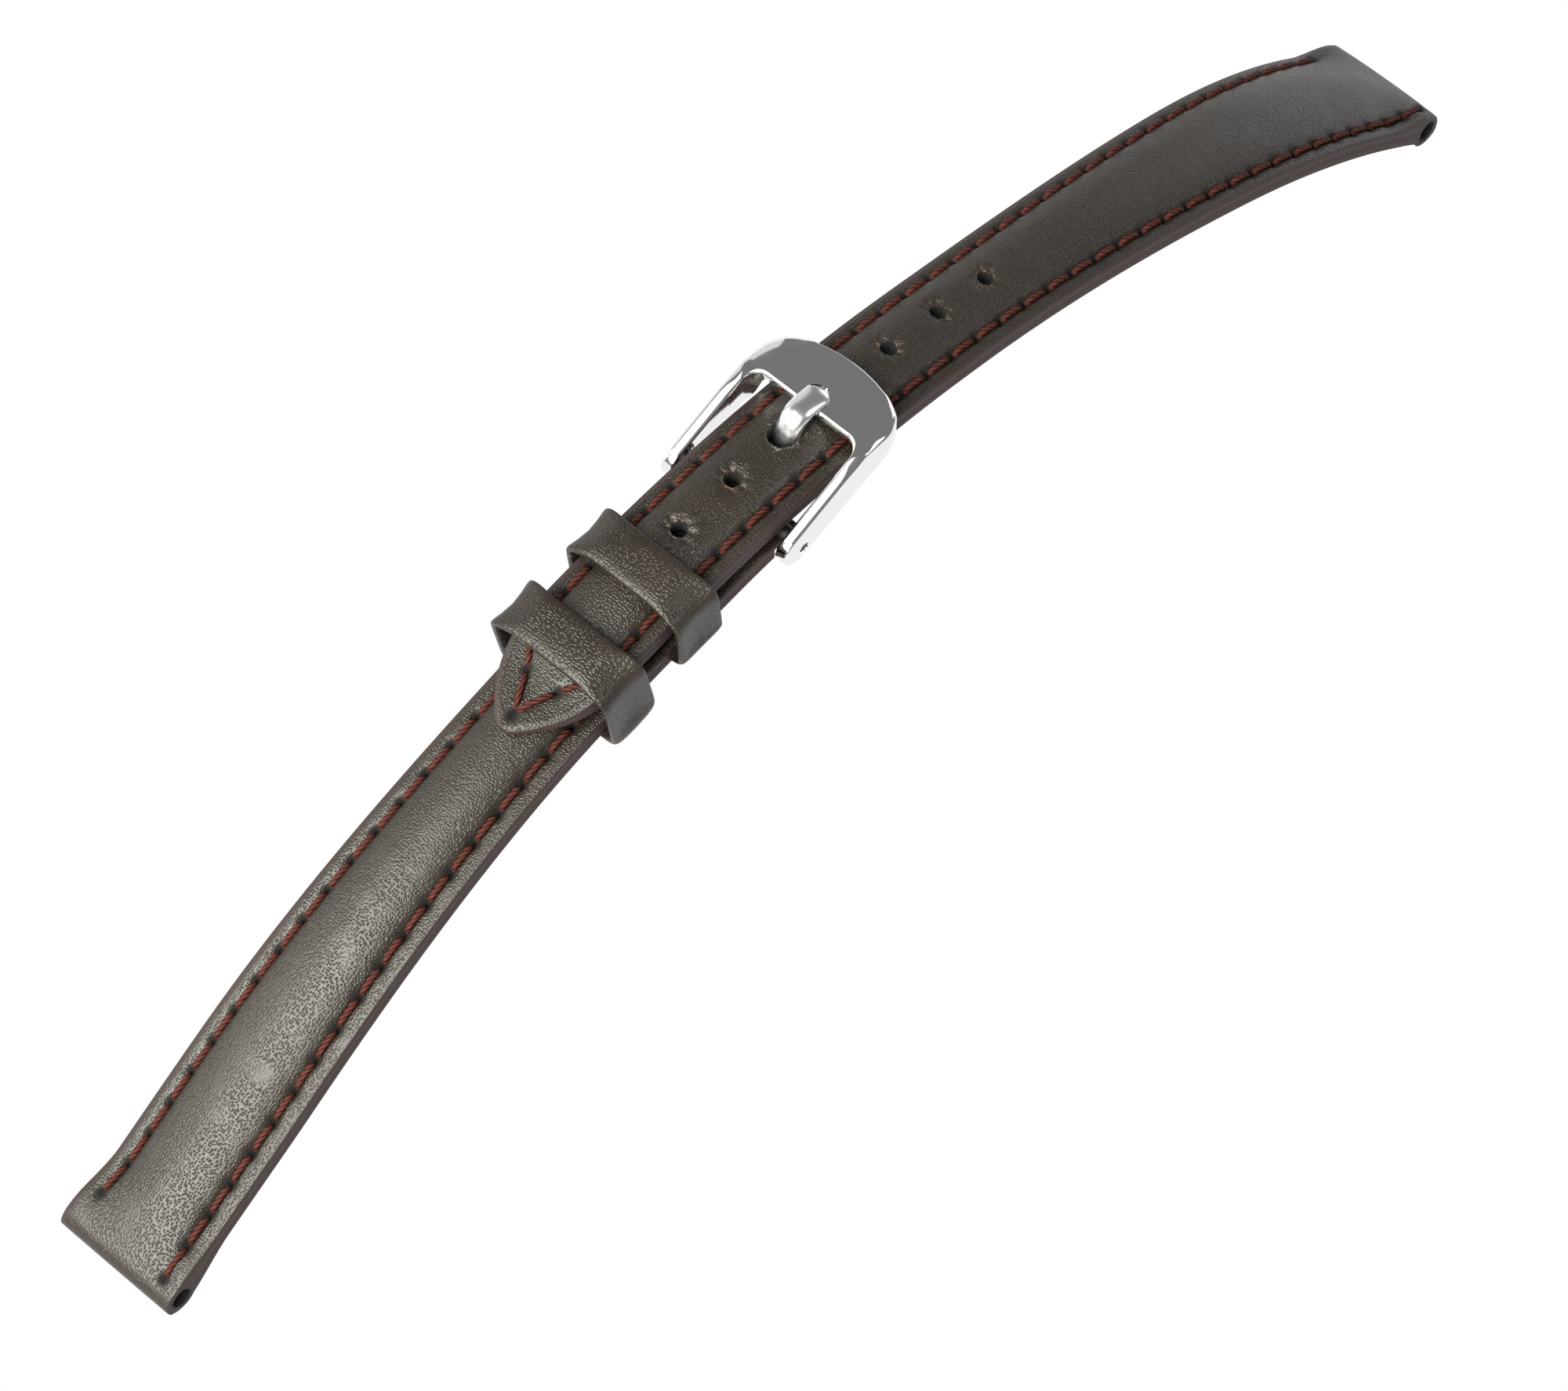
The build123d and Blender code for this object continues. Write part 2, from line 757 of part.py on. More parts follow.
def make_spring_bar():
    """Spring bar: a tube with turned-in ends, two plungers and the spring between them."""
    length = frame_inner_width - 2 * bar_end_gap
    bore = bar_radius - bar_wall
    tube = rod(bar_place, bar_height, bar_radius, length)
    tube = tube - rod(bar_place, bar_height, bore, length - 2 * bar_lip)
    tube = tube - rod(bar_place, bar_height, plunger_tip_radius + running_gap, length + overrun)
    shoulder = length / 2 - bar_lip - running_gap
    tip_end = frame_inner_width / 2 + frame_arm_thickness - plunger_tip_recess
    inside_end = shoulder - plunger_inside_length
    pieces = {"spring_bar_tube": tube}
    for name, side in (("left", 1), ("right", -1)):
        body_face = beside(bar_place, bar_height, side * inside_end) * Circle(bore - running_gap)
        tip_face = beside(bar_place, bar_height, side * shoulder) * Circle(plunger_tip_radius)
        body = extrude(body_face, -side * plunger_inside_length)
        tip = extrude(tip_face, -side * (tip_end - shoulder))
        pieces["spring_bar_plunger_" + name] = body + tip
    coil_radius = bore - running_gap - spring_wire_radius
    coil_length = 2 * (inside_end - spring_wire_radius - running_gap)
    coil = Helix(pitch=coil_length / spring_turns, height=coil_length, radius=coil_radius)
    wire_face = Plane(origin=coil @ 0, z_dir=coil % 0) * RegularPolygon(spring_wire_radius, spring_wire_sides)
    wire = sweep(wire_face, path=coil, is_frenet=True)
    pieces["spring_bar_spring"] = beside(bar_place, bar_height, coil_length / 2).location * wire
    return pieces


def main():
    os.makedirs("parts", exist_ok=True)
    nodes = {}
    nodes.update(make_short_piece())
    nodes.update(make_long_piece())
    nodes.update(make_threads())
    nodes.update(make_keepers())
    nodes["buckle_frame"] = make_frame()
    nodes["buckle_tongue"] = make_tongue()
    nodes.update(make_spring_bar())
    for name, shape in nodes.items():
        export_step(shape, "parts/" + name + ".step")


main()
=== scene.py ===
"""Padded leather watch strap with a pin buckle, made piece by piece as an add-on that runs as a script.

Places are given along the strap in millimetres, as in the solid model: s runs from the short piece's
lug end to the long piece's lug end, y across to the strap's left, and h is the height above the
short piece's flat margins.
"""

from math import atan2, ceil, copysign, cos, exp, hypot, pi, radians, sin, sqrt, tan

import bmesh
import bpy
from mathutils import Matrix, Vector


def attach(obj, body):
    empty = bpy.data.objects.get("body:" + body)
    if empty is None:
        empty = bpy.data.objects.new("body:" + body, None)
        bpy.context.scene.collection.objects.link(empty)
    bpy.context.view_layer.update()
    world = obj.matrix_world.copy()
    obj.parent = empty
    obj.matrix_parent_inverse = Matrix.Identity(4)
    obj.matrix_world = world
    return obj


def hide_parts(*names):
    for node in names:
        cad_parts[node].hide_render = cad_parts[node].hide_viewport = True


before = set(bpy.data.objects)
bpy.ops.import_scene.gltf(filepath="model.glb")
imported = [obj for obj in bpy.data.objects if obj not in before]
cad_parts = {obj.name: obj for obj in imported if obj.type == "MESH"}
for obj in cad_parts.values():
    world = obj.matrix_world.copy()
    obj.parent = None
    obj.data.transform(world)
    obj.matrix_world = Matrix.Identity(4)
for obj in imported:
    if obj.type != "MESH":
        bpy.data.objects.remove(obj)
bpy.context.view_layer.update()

bl_info = {
    "name": "Leather watch strap",
    "version": (1, 0, 0),
    "blender": (4, 5, 0),
    "location": "3D View > Sidebar > Strap",
    "description": "Makes the pieces of a stitched leather watch strap and a plain stage for it",
    "category": "Add Mesh",
}

MM = 0.001

# Path of the strap: length and radius of each arc
BENDS = ((20.0, None), (78.0, 98.0), (38.0, 192.0), (30.0, 85.0))
STRAP_LENGTH = sum(length for length, radius in BENDS)

# Widths
LUG_WIDTH = 11.8
SHORT_WIDTH = 11.1
LONG_WIDTH = 12.0
BUCKLE_WIDTH = 9.5
FLARE_LENGTH = 6.0
SHORT_TAPER = (15.0, 56.0)
LONG_TAPER = (10.0, 64.0)

# Edges of the top leathers, some by side: 1 is the strap's left and -1 its right
EDGE_FALL = {1: 0.3, -1: 0.04}
EDGE_FALL_WIDTH = 0.8
EDGE_SOFT = 1.0
PAINT_CREEP = {1: 0.8, -1: 0.2}
PAINT_WIDTH = 0.7
BORDER_WIDTH = 0.1
LEAST_HALF = 0.02

# Rim of a top leather, downwards: how far in and how high each point is, and how fully it is painted
RIM_SHARES = ((0.05, 0.96, 0.3), (0.01, 0.86, 1.0), (0.0, 0.45, 1.0), (0.0, 0.03, 1.0), (0.02, 0.0, 1.0))
UNDERSIDE_SHARE = 0.6

# Layers and heights
TOP_LEATHER = 0.75
TAPE = 0.25
LINING = 0.8
GLUE_LINE = 0.03
LAYER_INSET = 0.005
LAYER_SOFT = 0.03
SHORT_CROWN = 1.3
LONG_CROWN = 1.15
TIP_CROWN = 0.2
CROWN_ROUND_POWER = 2.1
CROWN_FULL_POWER = 0.85
CROWN_LAP = 0.02
LAYER_ROUND_SHARE = 0.2
LUG_CROWN_FALL_SHARE = 0.12
LONG_HEIGHT = 3.65
CROWN_BLEND = 10.0
TAPE_HIGH = -TOP_LEATHER - GLUE_LINE
TAPE_LOW = TAPE_HIGH - TAPE
LINING_HIGH = TAPE_LOW - GLUE_LINE
LINING_LOW = LINING_HIGH - LINING

# Rolled ends
LUG_ROLL = 1.6
LUG_BORE = 0.9
BAR_PLACE = 78.4
BAR_HEIGHT = 0.45
LOOP_ROLL = 1.33
LOOP_BORE = 0.79
LOOP_RISE = 11.0
SLOT_WIDTH = 2.7
SLOT_REAR = 2.2
SLOT_HEIGHT = 6.0
CUT_OVERRUN = 1.0
SHORT_ROLL_PLACE = LUG_ROLL
LONG_ROLL_PLACE = STRAP_LENGTH - LUG_ROLL
SHORT_ROLL_HEIGHT = SHORT_CROWN - GLUE_LINE - LUG_ROLL
LONG_ROLL_HEIGHT = LONG_HEIGHT + LONG_CROWN - GLUE_LINE - LUG_ROLL

# Tip and holes
TIP_PLACE = 51.4
TIP_LENGTH = 8.5
TIP_NOSE = 1.3
TIP_DROOP = 0.9
DROOP_START = 3.0
DROOP_END = 11.0
TIP_SKIVE = 0.6
TIP_EDGE_FALL = 0.25
TIP_EDGE_SOFT = 0.9
TIP_ROWS = 40
HOLE_RADIUS = 0.7
HOLE_PITCH = 5.85
TONGUE_HOLE_PLACE = 83.15
TONGUE_HOLE_RADIUS = 1.15
TONGUE_HOLE_STRETCH = 0.45
PUNCH_REACH = 4
HOLE_NUMBERS = range(-2, 5)
HOLE_DIP = 0.22
HOLE_DIP_WIDTH = 0.5
CREASE_WAVES = (5, 3)
CREASE_SHIFT = 2.3
CREASE_DIP = 0.15
CREASE_PLACE = 0.3
CREASE_WIDTH = 0.45
TORN_WIDTH = 0.11
TORN_CREASE_WIDTH = 0.4

# Stitching
SHORT_INSET = 1.55
LONG_INSET = 1.35
STITCH_PITCH = 2.95
STITCH_LENGTH = 2.5
THREAD_RADIUS = 0.26
STITCH_SIDES = 8
STITCH_PARTS = 7
STITCH_SINK = 0.18
STITCH_END_SHARE = 0.6
STITCH_FLAT_SHARE = 0.6
UPPER_ARCH = 0.16
LOWER_ARCH = -0.1
LOWER_SINK = 0.08
LUG_RISE_SHARE = 0.9
VALLEY_DEPTH = 0.12
VALLEY_WIDTH = 0.3
VALLEY_FADE = (0.2, 0.7)
VEE_DEPTH = 0.08
VEE_WIDTH = 0.35
VEE_NEEDLE_DEPTH = 0.4
NEEDLE_RADIUS = 0.35
NEEDLE_ALONG_SHARE = 0.8
NEEDLE_DEPTH = 0.52
# How strongly needle holes are painted near black, as the shade inside them
NEEDLE_SHADE = 1.8
NOSE_NEEDLE_RADIUS = 0.42
NOSE_NEEDLE_SHIFT = 0.2
SHORT_FIRST = {1: 4.2, -1: 2.3}
LONG_FIRST = {1: 6.2, -1: 2.4}
SHORT_LAST = 73.0
LONG_LAST = 59.3
TIP_STITCH_START = 1.6
TIP_STITCH_SECOND = 4.85
TIP_STITCH_RUN = 2.35
TIP_STITCH_SPREAD = 1.6

# How finely the pieces are divided
MIDDLE_COLUMNS = 22
MARGIN_COLUMNS = 11
COLUMN_LEAD = 0.3
ROW_STEP = 0.2
LAYER_STEP = 0.8
KEEPER_POINTS = 110
KEEPER_COLUMNS = 32
TONGUE_POINTS = 90
TONGUE_COLUMNS = 24
CORNER_POINTS = 44
BAR_POINTS = 12
NOTCH_POINTS = 24
MERGE = 0.002 * MM
FINE_MERGE = 0.001 * MM
NUDGE = 0.05

# Keepers
KEEPER_WIDTH = 4.65
KEEPER_WALL = 0.9
KEEPER_GAP = 0.2
KEEPER_RIGHT_REACH = 6.5
KEEPER_SHOULDER = 1.9
KEEPER_SHOULDER_POWERS = (0.55, 0.62)
KEEPER_CORNER_POWER = 0.2
KEEPER_RIM_POWERS = (0.42, 0.62)
KEEPER_SIDE_SHARE = 0.55
KEEPER_SIDE_RISE = 1.5
KEEPER_BULGE = 0.12
KEEPER_SIDE_HOLLOW = 0.58
KEEPER_INNER_SHARE = 0.12
KEEPER_FLARE_SHARE = 0.07
KEEPER_FLARE_DEPTH = 1.0
KEEPER_PORE_STEP = 0.22
FIXED_PLACE = 67.1
FIXED_ROOM = 0.25
FIXED_TUCK = 0.35
FREE_PLACE = 59.1
FREE_ROOM = 0.54
FREE_DROP = 0.3
CLOSING_STITCH_PLACE = 0.65
CLOSING_STITCH_HALF = 0.75
CLOSING_STITCH_SINK = 0.05
CLOSING_STITCH_RADIUS = 0.208
CLOSING_STITCH_ARCH = 0.1

# Buckle frame and tongue, measured from the spring bar's axis
FRAME_HALF = 5.5
ARM = 1.1
EAR_HOLE = 0.48
EAR_RADIUS = 1.5
EAR_BACK = 0.7
EAR_RISE = 0.4
EAR_END_LEAD = 0.004
EAR_PARTS = 10
BAR_REAR = 7.0
BAR_DEPTH = 5.5
BAR_THICKNESS = 1.0
BAR_GAP = 0.2
BAR_TOP = LONG_HEIGHT + LONG_CROWN + BAR_GAP + BAR_THICKNESS
BAR_BOW = 0.5
BAR_MIDDLE_HALF = 3.0
BAR_BLEND = (1.2, 0.1)
BAR_LEAD = 2.0
BOW_START_ANGLE = 4
OUTER_CORNER = 3.4
INNER_CORNER = 1.3
CORNER_LEAD = 1.6
ARM_STEP = 0.35
ARM_RIM = 0.26
BAR_INNER_RIM = 0.36
BAR_OUTER_RIM = 0.18
CORNER_RIM = 0.6
CORNER_RIM_WIDTH = 1.5
CORNER_RIM_SIDEWAYS = (-2, 0)
CORNER_RIM_ALONG = (-3, 1)
LOW_OUTER_RIM = 0.2
LOW_INNER_RIM = 0.3
RIM_LIMIT_SHARES = (0.45, 0.6)
EDGE_BEVEL = 0.05
EDGE_ANGLE = 50
NOTCH_WIDTH = 2.5
NOTCH_DEPTH = 0.55
NOTCH_LENGTH = 2.3
NOTCH_CLEARANCE = 2.0
EYE_RADIUS = 1.02
EYE_THICKNESS = 0.44
EYE_ANGLES = (-50, -270)
EYE_POINTS = 30
EYE_WIDTH_SHARE = 0.95
TONGUE_WIDTH = 2.36
TONGUE_THICKNESS = 1.05
TONGUE_CLEARANCE = 0.05
TONGUE_NECK = (2.2, 0.6)
TONGUE_FOOT = 3.75
TONGUE_RUN_HEIGHT = 0.45
TONGUE_SMOOTHING = 60
TONGUE_FILLS = (4.0, 7.5)
TONGUE_OUT_POWERS = (0.6, 1.0)
TONGUE_ACROSS_POWERS = (0.5, 0.95)
TONGUE_TIP = 8.9
TONGUE_SWELL = 0.5
TIP_ROUND = 0.95
TIP_END_SHARE = 0.0008
TIP_THINNING = 0.5
TIP_THINNING_LENGTH = 3.0
TONGUE_SLOPE = 65.0

# Surface of the leather, with depths in metres
PORE_SCALE = 4.0
PORE_WANDER = 0.35
PORE_DEPTH = 0.07 * MM
# Pores are painted darker than the leather, as the shade in them; this share of the dark colour is left at
# their middle
PORE_SHADE = 0.6
CREASE_DEPTH = 0.1 * MM
DENT_DEPTH = 0.1 * MM
GRAIN_PORES = 0.65
LINING_PORES = 0.25
LINING_ROUGHNESS = 0.6
PAINT_ROUGHNESS = 0.72
LINING_DARK = (0.03, 0.017, 0.014)
LINING_LIGHT = (0.055, 0.034, 0.027)
EDGE_PAINT = (0.026, 0.01, 0.01)
TORN_FIBRE = (0.19, 0.11, 0.078)
# Near-black colour painted into needle holes and the walls of cuts, as the shade inside them
NEEDLE_PAINTED_SHADE = (0.002, 0.0015, 0.0015)

# Thread, tape and steel
THREAD_STRANDS = 3
THREAD_BANDS = 4.0
THREAD_RIDGE = 0.12 * MM
THREAD_RED = (0.13, 0.022, 0.013)
# Painted shade in the grooves between the thread's strands
THREAD_GAP_SHADE = (0.012, 0.0035, 0.0025)
THREAD_FUZZ = (0.035, 0.009, 0.006)
FIBRE_DEPTH = 0.05 * MM
TAPE_BROWN = (0.05, 0.03, 0.028)
# Share of the tape's colour left as painted shade between its threads
TAPE_SHADE = 0.7
BRIGHT_STEEL = (0.84, 0.84, 0.84)
# Spring bar steel painted near black: partly a duller turned finish, mostly painted shade for the dark gap
# between the strap's loop and the ears
SHADED_BAR_STEEL = (0.07, 0.07, 0.07)
SMEAR_DEPTH = 0.04 * MM
BLACK = (0.0, 0.0, 0.0)
WHITE = (1.0, 1.0, 1.0)

# Stage: each light's name, place, width, power and colour, in metres and watts
LIGHT_TARGET = (0.0, 0.0, 0.02)
COOL_WHITE = (0.98, 1.0, 0.92)
LIGHTS = (
    ("Key light", (-0.43, -0.01, 0.4), 0.48, 10.5, COOL_WHITE),
    ("Top light", (-0.224, 0.207, 0.516), 0.26, 0.35, WHITE),
    ("Side light", (-0.38, 0.55, 0.28), 0.5, 2.4, (0.97, 1.0, 0.92)),
    ("Back light", (0.25, 0.75, 0.22), 0.9, 1.5, WHITE),
    ("Right light", (0.28, -0.39, 0.5), 0.3, 1.0, WHITE),
    ("Front light", (0.7, 0.1, 0.12), 0.35, 0.5, WHITE),
)
WORLD_STRENGTH = 0.2
FLOOR_GREY = (0.8, 0.8, 0.8)
FLOOR_HALF = 6.0
CAMERA_PLACE = (-0.219264, -0.190683, 0.463873)
CAMERA_AWAY = (0.39636, 0.34462, -0.85096)
CAMERA_RIGHT = (0.671, -0.74136, 0.0123)
CAMERA_LENS = 153.0
CAMERA_SENSOR = 36.0


def raw_point(s, h):
    """Point of the path before it is stood on its ends, where it starts level at the origin."""
    x, z, heading = 0.0, 0.0, 0.0
    left = s
    for number, (length, radius) in enumerate(BENDS):
        last = number == len(BENDS) - 1
        run = left if last else min(left, length)
        if radius is None:
            x += run * cos(heading)
            z += run * sin(heading)
        else:
            turned = heading - run / radius
            x += radius * (sin(heading) - sin(turned))
            z += radius * (cos(turned) - cos(heading))
            heading = turned
        left -= run
        if left <= 0:
            break
    return x - h * sin(heading), z + h * cos(heading)


START_X, START_Z = raw_point(SHORT_ROLL_PLACE, SHORT_ROLL_HEIGHT)
END_X, END_Z = raw_point(LONG_ROLL_PLACE, LONG_ROLL_HEIGHT)
STAND_TURN = -atan2(END_Z - START_Z, END_X - START_X)
STAND_X = (START_X + END_X) / 2
STAND_Z = (START_Z + END_Z) / 2


def place(s, y, h):
    """Point in the row frame, in metres, of a place on the strap."""
    x, z = raw_point(s, h)
    dx, dz = x - STAND_X, z - STAND_Z
    turned_x = dx * cos(STAND_TURN) - dz * sin(STAND_TURN)
    turned_z = dx * sin(STAND_TURN) + dz * cos(STAND_TURN) + LUG_ROLL
    return Vector((turned_x, y, turned_z)) * MM


def ease(value, start, end):
    """Rises smoothly from 0 at start to 1 at end."""
    share = min(max((value - start) / (end - start), 0.0), 1.0)
    return share * share * (3 - 2 * share)


def mix(low, high, share):
    return low + (high - low) * share


def bump(distance, radius):
    """Bell shape: 1 at no distance, and almost nothing past twice the radius."""
    return exp(-((distance / radius) ** 2))


def short_half(s):
    near_lug = mix(LUG_WIDTH, SHORT_WIDTH, ease(s, SHORT_ROLL_PLACE, SHORT_ROLL_PLACE + FLARE_LENGTH))
    return mix(near_lug, BUCKLE_WIDTH, ease(s, *SHORT_TAPER)) / 2


def long_side(s):
    near_lug = mix(LONG_WIDTH, LUG_WIDTH, ease(s, LONG_ROLL_PLACE - FLARE_LENGTH, LONG_ROLL_PLACE))
    return mix(near_lug, BUCKLE_WIDTH, ease(STRAP_LENGTH - s, *LONG_TAPER)) / 2


def tip_half(s):
    """Half the width of the pointed tip: a round nose and two long arcs."""
    half = BUCKLE_WIDTH / 2
    side = (TIP_LENGTH**2 + half**2 - 2 * TIP_LENGTH * TIP_NOSE) / (2 * (half - TIP_NOSE))
    run_x = TIP_LENGTH - TIP_NOSE
    run_y = half - side
    touch_x = TIP_NOSE - TIP_NOSE * run_x / hypot(run_x, run_y)
    x = s - TIP_PLACE
    if x < touch_x:
        return sqrt(max(TIP_NOSE**2 - (TIP_NOSE - x) ** 2, 0.0))
    return run_y + sqrt(side**2 - (TIP_LENGTH - x) ** 2)


def long_half(s):
    if s < TIP_PLACE + TIP_LENGTH:
        return min(tip_half(s), long_side(s))
    return long_side(s)


def short_base(s):
    """Height of the short piece's margins: level, then lifting where it becomes the buckle's loop."""
    return (BAR_HEIGHT + LOOP_ROLL - SHORT_CROWN) * ease(s, BAR_PLACE - LOOP_RISE, BAR_PLACE)


def skive(s):
    """1 at the long piece's nose, where its layers are pared thin and lie low, and 0 behind the tip."""
    return 1 - ease(s, TIP_PLACE, TIP_PLACE + TIP_LENGTH)


def long_base(s):
    return LONG_HEIGHT - TIP_DROOP * (1 - ease(s, TIP_PLACE + DROOP_START, TIP_PLACE + DROOP_END))


def long_crown(s):
    start = TIP_PLACE + TIP_LENGTH / 2
    return mix(TIP_CROWN, LONG_CROWN, ease(s, start, start + CROWN_BLEND))


def short_lug(s):
    """1 at the short piece's rolled lug end, falling to 0 where its flat margins begin."""
    return 1 - ease(s, SHORT_ROLL_PLACE, SHORT_ROLL_PLACE + FLARE_LENGTH)


def long_lug(s):
    return ease(s, LONG_ROLL_PLACE - FLARE_LENGTH, LONG_ROLL_PLACE)


def stitch_places(first, last):
    """Places of the needle holes from first to last, each shared by the stitches on either side of it."""
    direction = 1 if last > first else -1
    count = int(abs(last - first) / STITCH_PITCH)
    return [first + direction * number * STITCH_PITCH for number in range(count + 1)]


SHORT_NEEDLES = {side: stitch_places(SHORT_FIRST[side], SHORT_LAST) for side in (1, -1)}
LONG_NEEDLES = {side: stitch_places(STRAP_LENGTH - LONG_FIRST[side], LONG_LAST) for side in (1, -1)}


def hole_radius(number):
    return TONGUE_HOLE_RADIUS if number == 0 else HOLE_RADIUS


def hole_marks(s, y):
    """How far the leather is drawn down round a punched hole, and how torn its grain is there."""
    fine, coarse = CREASE_WAVES
    dip, torn = 0.0, 0.0
    for number in HOLE_NUMBERS:
        along = s - TONGUE_HOLE_PLACE - number * HOLE_PITCH
        if abs(along) > 4 * HOLE_RADIUS:
            continue
        distance = max(hypot(along, y) - hole_radius(number), 0.0)
        angle = atan2(y, along)
        crease = sin(fine * angle + CREASE_SHIFT * number) * sin(coarse * angle + number)
        dip += HOLE_DIP * bump(distance, HOLE_DIP_WIDTH)
        dip += CREASE_DIP * crease * bump(distance - CREASE_PLACE, CREASE_WIDTH)
        torn += bump(distance, TORN_WIDTH + TORN_CREASE_WIDTH * max(crease, 0.0))
    return dip, min(torn, 1.0)


def tip_vee():
    """Corners of the V of stitches at the tip, from one side line through the nose to the other."""
    seam = BUCKLE_WIDTH / 2 - LONG_INSET
    start = TIP_PLACE + TIP_STITCH_START
    second = TIP_PLACE + TIP_STITCH_SECOND
    side = [(second, TIP_STITCH_SPREAD), (second + TIP_STITCH_RUN, seam)]
    return [(s, -y) for s, y in reversed(side)] + [(start, 0.0)] + side


VEE = tip_vee()
SEAMS_START = TIP_PLACE + TIP_LENGTH - LONG_INSET


def vee_marks(s, y):
    """The groove of the V of stitches, and how near its needle holes are."""
    if s > TIP_PLACE + TIP_LENGTH + STITCH_PITCH:
        return 0.0, 0.0
    nearest = min(segment_distance(s, y, start, end) for start, end in zip(VEE, VEE[1:]))
    needle = bump(min(hypot(s - s0, y - y0) for s0, y0 in VEE), NEEDLE_RADIUS)
    nose_place = TIP_PLACE + TIP_STITCH_START - NOSE_NEEDLE_SHIFT
    needle = max(needle, bump(hypot(s - nose_place, y), NOSE_NEEDLE_RADIUS))
    return VEE_DEPTH * bump(nearest, VEE_WIDTH) + VEE_NEEDLE_DEPTH * needle, needle


def segment_distance(s, y, start, end):
    run = Vector((end[0] - start[0], end[1] - start[1]))
    offset = Vector((s - start[0], y - start[1]))
    share = min(max(offset.dot(run) / run.length_squared, 0.0), 1.0)
    return (offset - run * share).length


def needle_share(s, y, seam, needles):
    """1 at a needle hole of a stitch line, falling to 0 round it."""
    side = 1 if y > 0 else -1
    nearest = min(abs(s - needle) for needle in needles[side])
    if nearest > STITCH_PITCH / 2:
        return 0.0
    return bump(hypot(nearest * NEEDLE_ALONG_SHARE, abs(y) - seam), NEEDLE_RADIUS)


def surface(s, y, half, inset, base, crown, lug, needles):
    """Height of a piece's upper face: flat margins, the valley of the stitches and the padded crown."""
    distance = abs(y)
    seam = half - inset
    inner = seam + CROWN_LAP
    swell = 0.0
    if distance < inner:
        swell = crown * (1 - (distance / inner) ** CROWN_ROUND_POWER) ** CROWN_FULL_POWER
    over_roll = crown * (1 - LUG_CROWN_FALL_SHARE * (distance / half) ** 2)
    level = mix(swell, over_roll, lug)
    valley = VALLEY_DEPTH * bump(distance - seam, VALLEY_WIDTH) * (1 - ease(lug, *VALLEY_FADE))
    fall = EDGE_FALL[1 if y > 0 else -1] * ease(distance, half - EDGE_FALL_WIDTH, half) ** 2
    return base + level - fall - valley - NEEDLE_DEPTH * needle_share(s, y, seam, needles)


def short_top(s, y):
    half, base, lug = short_half(s), short_base(s), short_lug(s)
    return surface(s, y, half, SHORT_INSET, base, SHORT_CROWN, lug, SHORT_NEEDLES)


def long_top(s, y):
    """The long piece's upper face; its tip has no side seams but the V."""
    groove = vee_marks(s, y)[0]
    if s < SEAMS_START:
        crown = long_crown(s) * max(1 - (y / BUCKLE_WIDTH * 2) ** 2, 0.0)
        from_edge = min(max(long_half(s) - abs(y), 0.0) / TIP_EDGE_SOFT, 1.0)
        return long_base(s) + crown - groove - TIP_EDGE_FALL * skive(s) * (1 - from_edge) ** 2
    half, base, crown = long_side(s), long_base(s), long_crown(s)
    height = surface(s, y, half, LONG_INSET, base, crown, long_lug(s), LONG_NEEDLES)
    return height - hole_marks(s, y)[0] - groove


def short_tears_and_shade(s, y):
    """How torn the grain is, and how much painted shade a needle hole puts on it."""
    needle = needle_share(s, y, short_half(s) - SHORT_INSET, SHORT_NEEDLES)
    return 0.0, min(NEEDLE_SHADE * needle, 1.0)


def long_tears_and_shade(s, y):
    # The needle holes of the V and of the side seams get painted shade
    needle = vee_marks(s, y)[1]
    if s >= SEAMS_START:
        needle = max(needle, needle_share(s, y, long_side(s) - LONG_INSET, LONG_NEEDLES))
    return hole_marks(s, y)[1], min(NEEDLE_SHADE * needle, 1.0)


def steps(start, end, step):
    count = max(1, ceil(abs(end - start) / step))
    return [mix(start, end, number / count) for number in range(count + 1)]


def round_steps(centre, radius, direction, count=12):
    """Places round a quarter of a roll, from its far edge to its middle, close together at the edge."""
    return [centre - direction * radius * cos(pi / 2 * number / count) for number in range(count)]


def tube(rows, section, name, marks_and_shade=None):
    """A closed skin with one section for each place in rows, each a closed list of (y, h, paint)."""
    sections = [section(s) for s in rows]
    columns = len(sections[0])
    bm = bmesh.new()
    layer = bm.verts.layers.float_color.new("marks_and_shade")
    flat = bm.verts.layers.float_vector.new("flat")
    bmesh.ops.create_grid(bm, x_segments=len(rows) - 1, y_segments=columns, size=0.5)
    for vertex in bm.verts:
        row = round((vertex.co.x + 0.5) * (len(rows) - 1))
        column = round((vertex.co.y + 0.5) * columns) % columns
        y, h, paint = sections[row][column]
        # Channels: edge paint, torn grain, and the painted shade of needle holes
        torn, needle = marks_and_shade(rows[row], y) if marks_and_shade and not paint else (0.0, 0.0)
        vertex[layer] = (paint, torn, needle, 1.0)
        vertex[flat] = (rows[row], y, h if paint else 0.0)
        vertex.co = place(rows[row], y, h)
    close_ends(bm, MERGE)
    bmesh.ops.dissolve_degenerate(bm, edges=bm.edges, dist=FINE_MERGE)
    return finish_mesh(bm, name)


def close_ends(bm, merge):
    """Joins the seam of a rolled-up grid and fills its open ends."""
    bmesh.ops.remove_doubles(bm, verts=bm.verts, dist=merge)
    ends = [edge for edge in bm.edges if edge.is_boundary]
    bmesh.ops.holes_fill(bm, edges=ends, sides=0)


def finish_mesh(bm, name, sharp=50.0):
    """Turns a bmesh into an object with smooth faces that point outwards and edges sharp past an angle."""
    bmesh.ops.recalc_face_normals(bm, faces=bm.faces)
    mesh = bpy.data.meshes.new(name)
    bm.to_mesh(mesh)
    bm.free()
    for polygon in mesh.polygons:
        polygon.use_smooth = True
    mesh.set_sharp_from_angle(angle=radians(sharp))
    obj = bpy.data.objects.new(name.replace(" ", "_"), mesh)
    bpy.context.scene.collection.objects.link(obj)
    return obj


